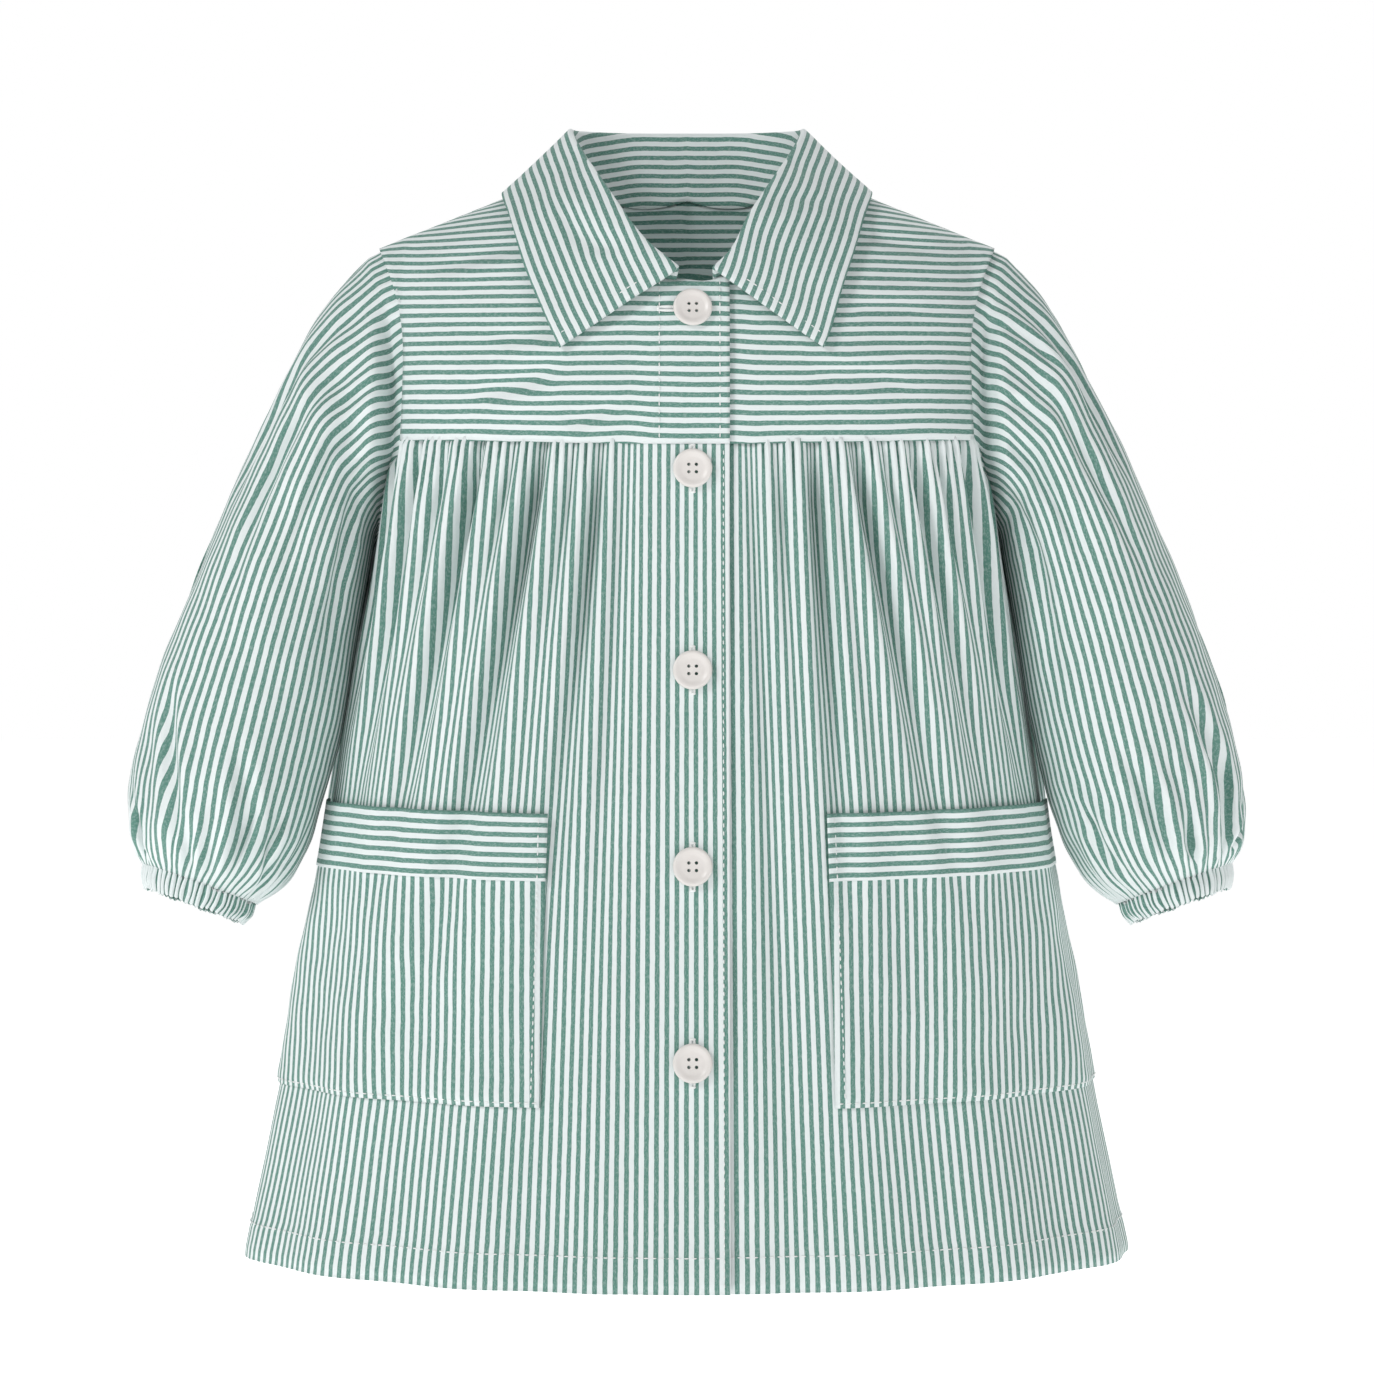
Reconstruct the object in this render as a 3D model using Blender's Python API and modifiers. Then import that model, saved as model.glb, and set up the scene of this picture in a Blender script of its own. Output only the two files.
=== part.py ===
# School smock: a button-through smock in striped cotton, gathered under a yoke and filled out as
# it is worn. Metres, +Z up, and -Y is the front. Left and right are the wearer's, so left is +X.
# The origin lies between the shoulders, in the middle of the neck hole.

import bmesh
import bpy
import numpy as np
from mathutils import Matrix, Vector


def table(names, *rows):
    """A short table as one array for each named column."""
    return dict(zip(names.split(), np.array(rows, float).T))


# ---- driving dimensions ----
CLOTH = 0.0012  # wall of a single panel
COLLAR_CLOTH = 0.0020  # collar: two plies and an interlining
BAND_CLOTH = 0.0016  # pocket band, folded double
SEAM_GAP = 0.0005
SHOULDER_GAP = 0.0008  # at the shoulder seams, where two slanting edges meet
NECK_GAP = 0.0011  # between the yoke's neck edge and the collar's seam

YOKE_SEAM = -0.118  # height of the seam between yoke and skirt, at the sides
HEM = -0.5205
FRONT_DIP = 0.0054  # seam and hem both hang this much lower at the centre front
UNDERARM = -0.1405
SHOULDER_PEAK = 0.0385  # where the two shoulder slopes would meet over the neck
SHOULDER_SLOPE = 0.397
FRONT_ROUND = 1.85  # squareness of the front from the chest up to the shoulder
BACK_ROUND = 2.0
FRONT_NECK_SEAM = 0.50  # share of a front yoke's width that ends at the neck hole
BACK_NECK_SEAM = 0.45

NECK_HALF_WIDTH = 0.057
NECK_FRONT = 0.0747
NECK_BACK = 0.051
NECK_ROUND = 2.4

OVERLAP_EDGE = 0.0205  # the right front reaches this far past the centre
UNDERLAP_EDGE = 0.0150  # the left front reaches this far under it
LAP_RISE = 0.0012  # each half of the button stand stands off the middle by this
LAP_FADE = 0.014

BODY = table(
    "height half_width front back square",
    (-0.5205, 0.2200, 0.1310, 0.1240, 2.20),
    (-0.4400, 0.2034, 0.1215, 0.1160, 2.25),
    (-0.3300, 0.1815, 0.1095, 0.1055, 2.40),
    (-0.2400, 0.1615, 0.0995, 0.0965, 2.60),
    (-0.1600, 0.1495, 0.0915, 0.0885, 2.90),
    (-0.1180, 0.1470, 0.0880, 0.0850, 3.00),
)
ARMHOLE = table(  # the armhole edge of the yoke, up from the yoke seam (0) to the shoulder (1)
    "rise half_width",
    (0.00, 0.1400),
    (0.25, 0.1388),
    (0.54, 0.1398),
    (0.74, 0.1445),
    (1.00, 0.1535),
)

GATHER_DEPTH = 0.0017
GATHER_LENGTH = 0.020
GATHERS_START = 0.030  # the front is plain up to this far from the centre line
GATHERS_GROW = 0.04  # share of the way to the side seam over which they reach their depth
FOLD_NAMES = "side seam_at hem_at seam_width hem_width depth reach"
# Each fold is a trough: its place from the centre line (0) to the side seam (1) at the yoke seam
# and at the hem, its half width at both, how deep it is, and how far down it reaches.
FRONT_FOLDS = table(
    FOLD_NAMES,
    (-1, 0.135, 0.180, 0.040, 0.075, 0.0035, 0.85),
    (-1, 0.200, 0.330, 0.035, 0.080, 0.0050, 0.70),
    (-1, 0.320, 0.600, 0.040, 0.090, 0.0065, 0.75),
    (-1, 0.460, 0.760, 0.040, 0.090, 0.0055, 0.70),
    (-1, 0.620, 0.860, 0.045, 0.080, 0.0055, 0.55),
    (1, 0.150, 0.190, 0.040, 0.075, 0.0045, 0.95),
    (1, 0.300, 0.330, 0.035, 0.070, 0.0060, 0.80),
    (1, 0.400, 0.690, 0.040, 0.085, 0.0065, 0.70),
    (1, 0.540, 0.790, 0.040, 0.080, 0.0045, 0.60),
    (1, 0.650, 0.880, 0.045, 0.080, 0.0055, 0.55),
)
BACK_FOLDS = table(
    FOLD_NAMES,
    (-1, 0.100, 0.140, 0.045, 0.080, 0.0050, 0.95),
    (-1, 0.270, 0.350, 0.045, 0.090, 0.0060, 0.85),
    (-1, 0.430, 0.560, 0.040, 0.080, 0.0055, 0.75),
    (-1, 0.600, 0.770, 0.045, 0.080, 0.0055, 0.65),
    (1, 0.070, 0.060, 0.040, 0.080, 0.0045, 0.80),
    (1, 0.220, 0.290, 0.045, 0.085, 0.0060, 0.95),
    (1, 0.390, 0.520, 0.040, 0.090, 0.0055, 0.80),
    (1, 0.560, 0.720, 0.045, 0.080, 0.0060, 0.65),
)
FOLD_AT_SEAM = 0.45  # share of its depth that a fold has at the yoke seam
FOLD_GROWS = 0.08  # share of the skirt's height over which it reaches the whole
HEM_SWAY = 0.0022
HEM_WAVES = 3.5
WAVES_TIGHTEN = 0.13
STAND_FLAT = 0.030  # folds grow over this much cloth beside the button stand
BACK_FLAT = 0.05  # and over this share of the way at the centre back
SIDE_FLAT = 0.12  # and at the side seams
SKIRT_ROWS = (0, 0.017, 0.042, 0.075, 0.13, 0.21, 0.31, 0.42, 0.54, 0.66, 0.77, 0.88, 1)
SKIRT_FINE_ROWS = 3
FRONT_COLUMNS = 24
BACK_COLUMNS = 40

SLEEVE = table(  # from the armhole down to the cuff: the outer and inner edge seen from the front
    "run outer_x outer_z inner_x inner_z depth middle tilt",
    (0.00, 0.1535, -0.0215, 0.1510, -0.1405, 0.0470, 0.000, 0.00),
    (0.10, 0.1778, -0.0475, 0.1535, -0.1410, 0.0500, 0.000, 0.00),
    (0.23, 0.1993, -0.0875, 0.1555, -0.1460, 0.0520, -0.001, 0.00),
    (0.37, 0.2228, -0.1375, 0.1575, -0.1640, 0.0520, -0.004, 0.01),
    (0.53, 0.2473, -0.1975, 0.1620, -0.2080, 0.0500, -0.009, 0.03),
    (0.67, 0.2650, -0.2475, 0.1705, -0.2600, 0.0500, -0.015, 0.05),
    (0.79, 0.2728, -0.2860, 0.1805, -0.2990, 0.0480, -0.021, 0.08),
    (0.88, 0.2735, -0.3090, 0.1885, -0.3220, 0.0430, -0.025, 0.10),
    (0.95, 0.2715, -0.3205, 0.2000, -0.3385, 0.0330, -0.027, 0.11),
    (1.00, 0.2682, -0.3272, 0.2124, -0.3470, 0.0200, -0.028, 0.12),
)
SLEEVE_ROWS = (0, 0.06, 0.13, 0.22, 0.33, 0.45, 0.56, 0.67, 0.77, 0.85, 0.91, 0.96, 1.0)
SLEEVE_LEAD = 0.0014  # the sleeve starts this far outside the armhole edge
LEAD_FADES = 0.15  # share of the sleeve's length
ARMHOLE_FADES = 0.22  # over this share it leaves the armhole's shape for its own
SLEEVE_FOLDS = table(  # place round the sleeve (0 outer edge, 0.25 front, 0.5 under the arm, 0.75 back)
    "side start_at end_at start end width depth",
    (-1, 0.10, 0.08, 0.00, 0.45, 0.030, 0.0024),
    (-1, 0.18, 0.17, 0.02, 0.60, 0.030, 0.0030),
    (-1, 0.28, 0.26, 0.00, 0.50, 0.030, 0.0034),
    (-1, 0.36, 0.38, 0.02, 0.65, 0.035, 0.0036),
    (-1, 0.12, 0.20, 0.62, 0.95, 0.035, 0.0034),
    (-1, 0.27, 0.33, 0.70, 0.97, 0.035, 0.0036),
    (-1, 0.97, 0.99, 0.70, 0.95, 0.030, 0.0026),
    (-1, 0.62, 0.64, 0.02, 0.60, 0.035, 0.0032),
    (-1, 0.78, 0.76, 0.00, 0.55, 0.035, 0.0032),
    (-1, 0.72, 0.66, 0.68, 0.97, 0.035, 0.0032),
    (1, 0.09, 0.10, 0.00, 0.40, 0.030, 0.0035),
    (1, 0.20, 0.16, 0.02, 0.55, 0.030, 0.0040),
    (1, 0.30, 0.27, 0.00, 0.55, 0.030, 0.0045),
    (1, 0.38, 0.37, 0.02, 0.65, 0.035, 0.0050),
    (1, 0.16, 0.10, 0.60, 0.95, 0.035, 0.0045),
    (1, 0.30, 0.24, 0.68, 0.97, 0.035, 0.0050),
    (1, 0.95, 0.98, 0.66, 0.95, 0.030, 0.0040),
    (1, 0.64, 0.62, 0.02, 0.60, 0.035, 0.0045),
    (1, 0.80, 0.78, 0.00, 0.55, 0.035, 0.0045),
    (1, 0.74, 0.70, 0.66, 0.97, 0.035, 0.0045),
)
FOLD_FULLNESS = 0.7  # below 1 a sleeve fold keeps its depth over more of its length
FOLDS_END = 0.06  # folds die out over the last of the sleeve's length
WRIST_GATHERS = 18
WRIST_GATHER_DEPTH = 0.0013
WRIST_GATHERS_START = 0.86
WRIST_GATHERS_GROW = 0.10

CUFF = table(  # its top and bottom ring, as the sleeve's
    "run outer_x outer_z inner_x inner_z depth middle tilt",
    (0.0, 0.2670, -0.3284, 0.2136, -0.3483, 0.0187, -0.0282, 0.12),
    (0.5, 0.2678, -0.3345, 0.2158, -0.3533, 0.0190, -0.0289, 0.12),
    (1.0, 0.2668, -0.3400, 0.2198, -0.3570, 0.0180, -0.0296, 0.12),
)
CUFF_RIBS = 38
CUFF_ROWS = 3
CUFF_CLOTH = 0.0026  # at the top of a rib
CUFF_VALLEY = 0.50  # what is left of that between two ribs
CUFF_EDGE = 0.75  # and of a rib at the cuff's edges

# The collar runs from the centre back (0) to its front end (1): the place of its seam round the
# neck in degrees from the back, its roll line, and the free edge of the fall.
COLLAR = table(
    "run neck roll_x roll_y roll_z edge_x edge_y edge_z",
    (0.00, 0.0, 0.0000, 0.0550, 0.0405, 0.0000, 0.0660, -0.0100),
    (0.14, 33.0, 0.0330, 0.0500, 0.0400, 0.0430, 0.0580, -0.0090),
    (0.28, 66.0, 0.0555, 0.0260, 0.0380, 0.0800, 0.0330, -0.0010),
    (0.38, 90.0, 0.0585, 0.0020, 0.0355, 0.0893, 0.0000, 0.0040),
    (0.55, 118.0, 0.0470, -0.0320, 0.0125, 0.0835, -0.0400, -0.0180),
    (0.70, 138.0, 0.0335, -0.0590, -0.0090, 0.0770, -0.0600, -0.0400),
    (0.84, 157.0, 0.0210, -0.0712, -0.0265, 0.0692, -0.0720, -0.0600),
    (1.00, 176.0, 0.0045, -0.0785, -0.0410, 0.0608, -0.0800, -0.0788),
)
COLLAR_ROLL = 0.0016  # half the space between stand and fall at the roll line
COLLAR_CLEAR = 0.0034  # the fall's edge lies this far off the middle of the yoke's cloth
STAND_ROOM = 0.0026  # and this much further off over the stand
STAND_ENDS = (0.30, 0.70)  # share of the fall where that room starts to close, and where it has
COLLAR_OUTWARD = 0.8  # below 1 the roll leans out more to the sides than forward
COLLAR_LEFT_SHIFT = 0.0085  # the left front end of the roll starts this much further out
COLLAR_SHIFT_FROM = 0.70  # the shift grows from here to the front end
COLLAR_EDGE_SHIFT = 0.50  # share of it that the free edge takes
COLLAR_COLUMNS = 28
COLLAR_LEFT_TURN = 6.0  # and its seam stops this many degrees earlier
COLLAR_SECTION = table(  # across the collar, from the neck seam over the roll to the free edge
    "across rise fall roll",
    (0, 0.00, 0.00, -1.0),
    (1, 0.50, 0.00, -1.0),
    (2, 0.95, 0.00, -1.0),
    (3, 1.00, 0.00, 0.0),
    (4, 1.00, 0.04, 1.0),
    (5, 1.00, 0.30, 1.0),
    (6, 1.00, 0.62, 1.0),
    (7, 1.00, 1.00, 1.0),
)

POCKET_TOP = -0.2965
POCKET_BAND_BOTTOM = -0.3285
POCKET_BOTTOM = -0.4350
POCKET_INNER_TOP = 0.0675  # from the centre line to the pocket's inner side
POCKET_INNER_BOTTOM = 0.0705
POCKET_OUTER = 0.985  # share of the way to the side seam
POCKET_LIFT = 0.0026
POCKET_PUFF = 0.0014
POCKET_FULLNESS = 0.6
POCKET_COLUMNS = 13
BAND_LIFT = 0.0030

BUTTON_STEPS = 16
BUTTON_HOLE_RADIUS = 0.0010
BUTTON_HOLE_SPACING = 0.0017
BUTTON_AT = 0.0027  # to the left of the centre line
BUTTON_HEIGHTS = (-0.0595, -0.1365, -0.2330, -0.3262, -0.4184)
BUTTON_CLEAR = 0.0003
BUTTON_LIFT = LAP_RISE + CLOTH / 2 + BUTTON_CLEAR
BUTTON_PROFILE = table(  # from the middle of the face round the rim to the middle of the back
    "radius height",
    (0.0000, 0.0019),
    (0.0064, 0.0021),
    (0.0076, 0.0027),
    (0.0088, 0.0026),
    (0.0094, 0.0016),
    (0.0080, 0.0003),
    (0.0000, 0.0000),
)

CURVE_STEPS = 160  # points on a quarter ring when its length is measured
TINY = 1e-5

GREEN_STRIPE = (0.33, 0.47, 0.42, 1.0)
IVORY = (0.78, 0.75, 0.72, 1.0)


# ---- small helpers ----
def smooth(x):
    """0 up to 0, 1 from 1 on, and a soft step between."""
    x = np.clip(x, 0.0, 1.0)
    return x * x * (3 - 2 * x)


def bell(x):
    """A soft hump over -1 to 1."""
    return 0.5 + 0.5 * np.cos(np.pi * np.clip(x, -1.0, 1.0))


def through(rows, name, at, by):
    """The smooth curve of one column through a table's rows, at places in column `by`."""
    xs, ys = rows[by], rows[name]
    slopes = np.gradient(ys, xs)
    i = np.clip(np.searchsorted(xs, at) - 1, 0, len(xs) - 2)
    width = xs[i + 1] - xs[i]
    t = np.clip((at - xs[i]) / width, 0.0, 1.0)
    lift = smooth(t)
    bend = t * (1 - t)
    return ys[i] * (1 - lift) + ys[i + 1] * lift + width * bend * ((1 - t) * slopes[i] - t * slopes[i + 1])


def spread(start, end, share):
    return start + (end - start) * share


# ---- the body's form ----
def body_at(z, facing):
    """Half width, depth and squareness of the body's ring at a height; facing is -1 front, 1 back."""
    depth = through(BODY, "back" if facing > 0 else "front", z, "height")
    return through(BODY, "half_width", z, "height"), depth, through(BODY, "square", z, "height")


def ring_point(angle, half_width, depth, square):
    """A point of the ring, by its angle from the centre line, and its outward direction in plan."""
    sin, cos = np.sin(angle), np.cos(angle)
    reach = (np.abs(sin / half_width) ** square + np.abs(cos / depth) ** square) ** (-1 / square)
    x, y = reach * sin, reach * cos
    out_x = np.sign(x) * np.abs(x / half_width) ** (square - 1) / half_width
    out_y = np.sign(y) * np.abs(y / depth) ** (square - 1) / depth
    size = np.hypot(out_x, out_y)
    return x, y, out_x / size, out_y / size


def ring_lengths(z, facing):
    """Angles of a quarter ring and the length of cloth from the centre line to each."""
    angles = np.linspace(0, np.pi / 2, CURVE_STEPS)
    x, y, _, _ = ring_point(angles, *body_at(z, facing))
    steps = np.hypot(np.diff(x), np.diff(y))
    return angles, np.concatenate([[0], np.cumsum(steps)])


def down_share(z):
    return np.clip((YOKE_SEAM - z) / (YOKE_SEAM - HEM), 0.0, 1.0)


def quarter_length(z, facing):
    """Length from the centre line to the side seam at a height."""
    top = ring_lengths(YOKE_SEAM, facing)[1][-1]
    bottom = ring_lengths(HEM, facing)[1][-1]
    return spread(top, bottom, down_share(z))


def angle_at(q, z, facing):
    """The ring's angle at a share of the way from the centre line (0) to the side seam (1)."""
    found = []
    for height in (YOKE_SEAM, HEM):
        angles, lengths = ring_lengths(height, facing)
        found.append(np.sign(q) * np.interp(np.abs(q), lengths / lengths[-1], angles))
    return spread(found[0], found[1], down_share(z))


def share_at_width(x, facing):
    """The share of the way round, at the yoke seam, where the ring is x wide."""
    angles, lengths = ring_lengths(YOKE_SEAM, facing)
    widths = ring_point(angles, *body_at(YOKE_SEAM, facing))[0]
    return np.interp(np.abs(x), widths, lengths / lengths[-1])


def skirt_top(q, facing):
    """Height of the skirt's upper edge, which dips under the armhole."""
    armhole = share_at_width(ARMHOLE["half_width"][0], facing)
    under = np.clip((np.abs(q) - armhole) / (1 - armhole), 0.0, 1.0)
    return YOKE_SEAM + (UNDERARM - YOKE_SEAM) * np.sin(under * np.pi / 2)


def front_dip(q, facing):
    """How far the front hangs down towards its centre."""
    return FRONT_DIP * (1 - np.clip(q * q, 0.0, 1.0)) ** 1.5 * (facing < 0)


def skirt_form(side, facing, q, z, out):
    """Points of the skirt, moved out of its plain form by `out`."""
    angle = angle_at(q, z, facing)
    x, y, out_x, out_y = ring_point(angle, *body_at(z, facing))
    height = z - front_dip(q, facing)
    return np.stack([side * (x + out * out_x), facing * (y + out * out_y), height], axis=-1)


def skirt_relief(side, facing, q, z):
    """How far the folds and the sway of the hem stand out of the plain form."""
    folds = BACK_FOLDS if facing > 0 else FRONT_FOLDS
    down = down_share(z)
    out = HEM_SWAY * smooth(down) * np.sin(2 * np.pi * HEM_WAVES * q * (1 + WAVES_TIGHTEN * q) + side)
    for i in np.flatnonzero(folds["side"] == side):
        middle = spread(folds["seam_at"][i], folds["hem_at"][i], down)
        width = spread(folds["seam_width"][i], folds["hem_width"][i], down)
        strength = spread(FOLD_AT_SEAM, 1.0, smooth(down / FOLD_GROWS))
        strength = strength * (1 - smooth(down / folds["reach"][i]))
        out = out - folds["depth"][i] * strength * bell((q - middle) / width)
    if facing < 0:
        settled = smooth((np.abs(q) * quarter_length(z, facing) - OVERLAP_EDGE) / STAND_FLAT)
    else:
        settled = smooth(q / BACK_FLAT)
    return out * settled * smooth((1.0 - np.abs(q)) / SIDE_FLAT + SIDE_FLAT)


def lap(x):
    """1 on the button stand, fading to 0 beside it."""
    inside = smooth((x + UNDERLAP_EDGE + LAP_FADE) / LAP_FADE)
    return inside * smooth((OVERLAP_EDGE + LAP_FADE - x) / LAP_FADE)


def gathers(u, q, z, top, columns, facing):
    """The small puckers under the yoke seam, one to every two columns."""
    armhole = share_at_width(ARMHOLE["half_width"][0], facing)
    held = smooth((armhole + GATHERS_GROW - np.abs(q)) / (2 * GATHERS_GROW))
    if facing < 0:
        starts = GATHERS_START / quarter_length(YOKE_SEAM, facing)
        held = held * smooth((np.abs(q) - starts) / GATHERS_GROW)
    fade = np.exp(-(((top - z) / GATHER_LENGTH) ** 2))
    return GATHER_DEPTH * held * fade * np.cos(np.pi * columns * u)


# ---- the yoke's form ----
def chest_depth(x, facing):
    """Depth of the yoke's foot, held from the armhole out to the shoulder's end."""
    half_width, depth, square = body_at(YOKE_SEAM, facing)
    within = np.minimum(np.abs(x), ARMHOLE["half_width"][0])
    return depth * (1 - (within / half_width) ** square) ** (1 / square)


def shoulder_height(x):
    return SHOULDER_PEAK - SHOULDER_SLOPE * np.abs(x)


def armhole_width(turn, facing):
    roundness = BACK_ROUND if facing > 0 else FRONT_ROUND
    rise = np.sin(turn) ** (2 / roundness)
    return through(ARMHOLE, "half_width", rise, "rise")


def neck_turn(x, facing):
    """How far up and over (0 at the yoke seam, pi/2 at the shoulder) the neck hole cuts the yoke."""
    roundness = BACK_ROUND if facing > 0 else FRONT_ROUND
    reach = NECK_BACK if facing > 0 else NECK_FRONT
    inside = np.clip(1 - np.abs(x / NECK_HALF_WIDTH) ** NECK_ROUND, 0.0, 1.0)
    share = reach * inside ** (1 / NECK_ROUND) / chest_depth(x, facing)
    return np.arccos(np.clip(share, 0.0, 1.0) ** (roundness / 2))


def yoke_form(x, turn, facing, out):
    """Points of the yoke, up from its seam (turn 0) and over to the shoulder (turn pi/2)."""
    roundness = BACK_ROUND if facing > 0 else FRONT_ROUND
    depth = chest_depth(x, facing)
    height = shoulder_height(x) - YOKE_SEAM
    back, rise = np.cos(turn) ** (2 / roundness), np.sin(turn) ** (2 / roundness)
    out_y = back ** (roundness - 1) / depth
    out_z = rise ** (roundness - 1) / height
    size = np.hypot(out_y, out_z)
    y = depth * back + out * out_y / size
    z = YOKE_SEAM + height * rise + out * out_z / size
    z = z - front_dip(share_at_width(x, facing), facing) * (1 - rise)
    return np.stack([x, facing * (y + SHOULDER_GAP / 2), z], axis=-1)


def off_yoke(points, clear, exact):
    """Points moved off the yoke's surface until they clear it; exact=1 lays them on that distance."""
    def outside(p):
        facing_back = p[..., 1] > 0
        value = 0
        for facing, chosen in ((1, facing_back), (-1, ~facing_back)):
            roundness = BACK_ROUND if facing > 0 else FRONT_ROUND
            height = shoulder_height(p[..., 0]) - YOKE_SEAM
            level = (np.abs(p[..., 1]) / chest_depth(p[..., 0], facing)) ** roundness
            level = level + (np.clip(p[..., 2] - YOKE_SEAM, 0, None) / height) ** roundness
            value = value + np.where(chosen, level ** (1 / roundness) - 1, 0)
        return value

    for _ in range(4):
        here = outside(points)
        slope = np.stack([(outside(points + TINY * axis) - here) / TINY for axis in np.eye(3)], axis=-1)
        steepness = np.linalg.norm(slope, axis=-1)
        short = clear - here / steepness
        move = np.maximum(short, 0) * (1 - exact) + short * exact
        points = points + slope / steepness[..., None] * move[..., None]
    return points


# ---- building ----
def material(name, color, roughness):
    made = bpy.data.materials.new(name)
    made.use_nodes = True
    shader = made.node_tree.nodes["Principled BSDF"]
    shader.inputs["Base Color"].default_value = color
    shader.inputs["Roughness"].default_value = roughness
    shader.inputs["Metallic"].default_value = 0.0
    return made


def add_object(name, bm, parts, color=GREEN_STRIPE, roughness=0.85):
    mesh = bpy.data.meshes.new(name)
    bm.to_mesh(mesh)
    bm.free()
    mesh.shade_smooth()
    made = bpy.data.objects.new(name, mesh)
    mesh.materials.append(material(name + "_finish", color, roughness))
    parts.objects.link(made)
    return made


def sheet(columns, row_places, form, fine_rows=0, closed=False, wall_share=None):
    """A grid laid on form(u, v). The top `fine_rows` rows have twice the columns."""
    rows = len(row_places) - 1
    bm = bmesh.new()
    bmesh.ops.create_grid(bm, x_segments=columns, y_segments=rows, size=0.5)
    if fine_rows:
        limit = fine_rows / rows - 0.5 + 1e-4
        across = [
            edge
            for edge in bm.edges
            if abs(edge.verts[0].co.y - edge.verts[1].co.y) < 1e-6 and edge.verts[0].co.y < limit
        ]
        bmesh.ops.subdivide_edges(bm, edges=across, cuts=1, use_grid_fill=True)
    places = np.array([vertex.co for vertex in bm.verts], float) + 0.5
    v = np.interp(places[:, 1] * rows, np.arange(rows + 1), row_places)
    for vertex, point in zip(bm.verts, form(places[:, 0], v)):
        vertex.co = point
    if wall_share:
        weights = bm.verts.layers.deform.verify()
        for vertex, share in zip(bm.verts, wall_share(places[:, 0], v)):
            vertex[weights][0] = share
    if closed:
        bmesh.ops.remove_doubles(bm, verts=bm.verts, dist=1e-6)
    return bm


def thicken(piece, thickness, offset=0.0):
    wall = piece.modifiers.new("Wall", "SOLIDIFY")
    wall.thickness = thickness
    wall.offset = offset
    wall.use_even_offset = True
    return wall


# ---- the pieces ----
def yoke_columns(share, inner, turn, facing, seam_share):
    """Half width at a share of the way from the inner edge, past the neck's side, to the armhole."""
    start = np.arcsin(inner / NECK_HALF_WIDTH)
    at_neck = NECK_HALF_WIDTH * np.sin(spread(start, np.pi / 2, np.clip(share / seam_share, 0, 1)))
    past = np.clip((share - seam_share) / (1 - seam_share), 0, 1)
    edge = armhole_width(turn, facing) - SEAM_GAP
    return at_neck + (edge - NECK_HALF_WIDTH) * past


def make_yoke_front(side, parts):
    """One front half; the right one (side -1) laps over the left."""
    reach = -OVERLAP_EDGE if side < 0 else -UNDERLAP_EDGE

    def form(u, v):
        x = yoke_columns(u, reach, np.pi / 4, -1, FRONT_NECK_SEAM)
        turn = v * np.where(x < NECK_HALF_WIDTH - TINY, neck_turn(x, -1), np.pi / 2)
        x = yoke_columns(u, reach, turn, -1, FRONT_NECK_SEAM)
        out = -side * LAP_RISE * lap(side * x)
        points = yoke_form(x, turn, -1, out)
        points[:, 0] *= side
        points[:, 2] += SEAM_GAP / 2
        return points

    name = "yoke_front_right" if side < 0 else "yoke_front_left"
    bm = sheet(14, np.linspace(0, 1, 9), form)
    thicken(add_object(name, bm, parts), CLOTH)


def make_yoke_back(parts):
    def form(u, v):
        side, share = np.sign(u - 0.5), np.abs(2 * u - 1)
        x = yoke_columns(share, 0.0, np.pi / 4, 1, BACK_NECK_SEAM)
        turn = v * np.where(x < NECK_HALF_WIDTH - TINY, neck_turn(x, 1), np.pi / 2)
        x = side * yoke_columns(share, 0.0, turn, 1, BACK_NECK_SEAM)
        points = yoke_form(x, turn, 1, 0.0)
        points[:, 2] += SEAM_GAP / 2
        return points

    thicken(add_object("yoke_back", sheet(20, np.linspace(0, 1, 8), form), parts), CLOTH)


def skirt_points(side, facing, u, q, v, columns):
    top = skirt_top(q, facing) - SEAM_GAP / 2
    z = spread(top, HEM, v)
    out = skirt_relief(side, facing, q, z) + gathers(u, q, z, top, columns, facing)
    if facing < 0:
        x = side * q * quarter_length(z, facing)
        out = out - side * LAP_RISE * lap(x)
    return skirt_form(side, facing, q, z, out)


def make_skirt_front(side, parts):
    reach = -OVERLAP_EDGE if side < 0 else -UNDERLAP_EDGE

    def form(u, v):
        z = spread(YOKE_SEAM, HEM, v)
        length = quarter_length(z, -1)
        q = spread(reach / length, 1 - SEAM_GAP / length, u)
        return skirt_points(side, -1, u, q, v, 2 * FRONT_COLUMNS)

    name = "skirt_front_right" if side < 0 else "skirt_front_left"
    bm = sheet(FRONT_COLUMNS, SKIRT_ROWS, form, SKIRT_FINE_ROWS)
    thicken(add_object(name, bm, parts), CLOTH)


def make_skirt_back(parts):
    def form(u, v):
        length = quarter_length(spread(YOKE_SEAM, HEM, v), 1)
        side, q = np.where(u < 0.5, -1, 1), np.abs(2 * u - 1) * (1 - SEAM_GAP / length)
        points = np.zeros((len(u), 3))
        for half in (-1, 1):
            chosen = side == half
            found = skirt_points(half, 1, u[chosen], q[chosen], v[chosen], 2 * BACK_COLUMNS)
            points[chosen] = found
        return points

    bm = sheet(BACK_COLUMNS, SKIRT_ROWS, form, SKIRT_FINE_ROWS)
    thicken(add_object("skirt_back", bm, parts), CLOTH)


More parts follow.
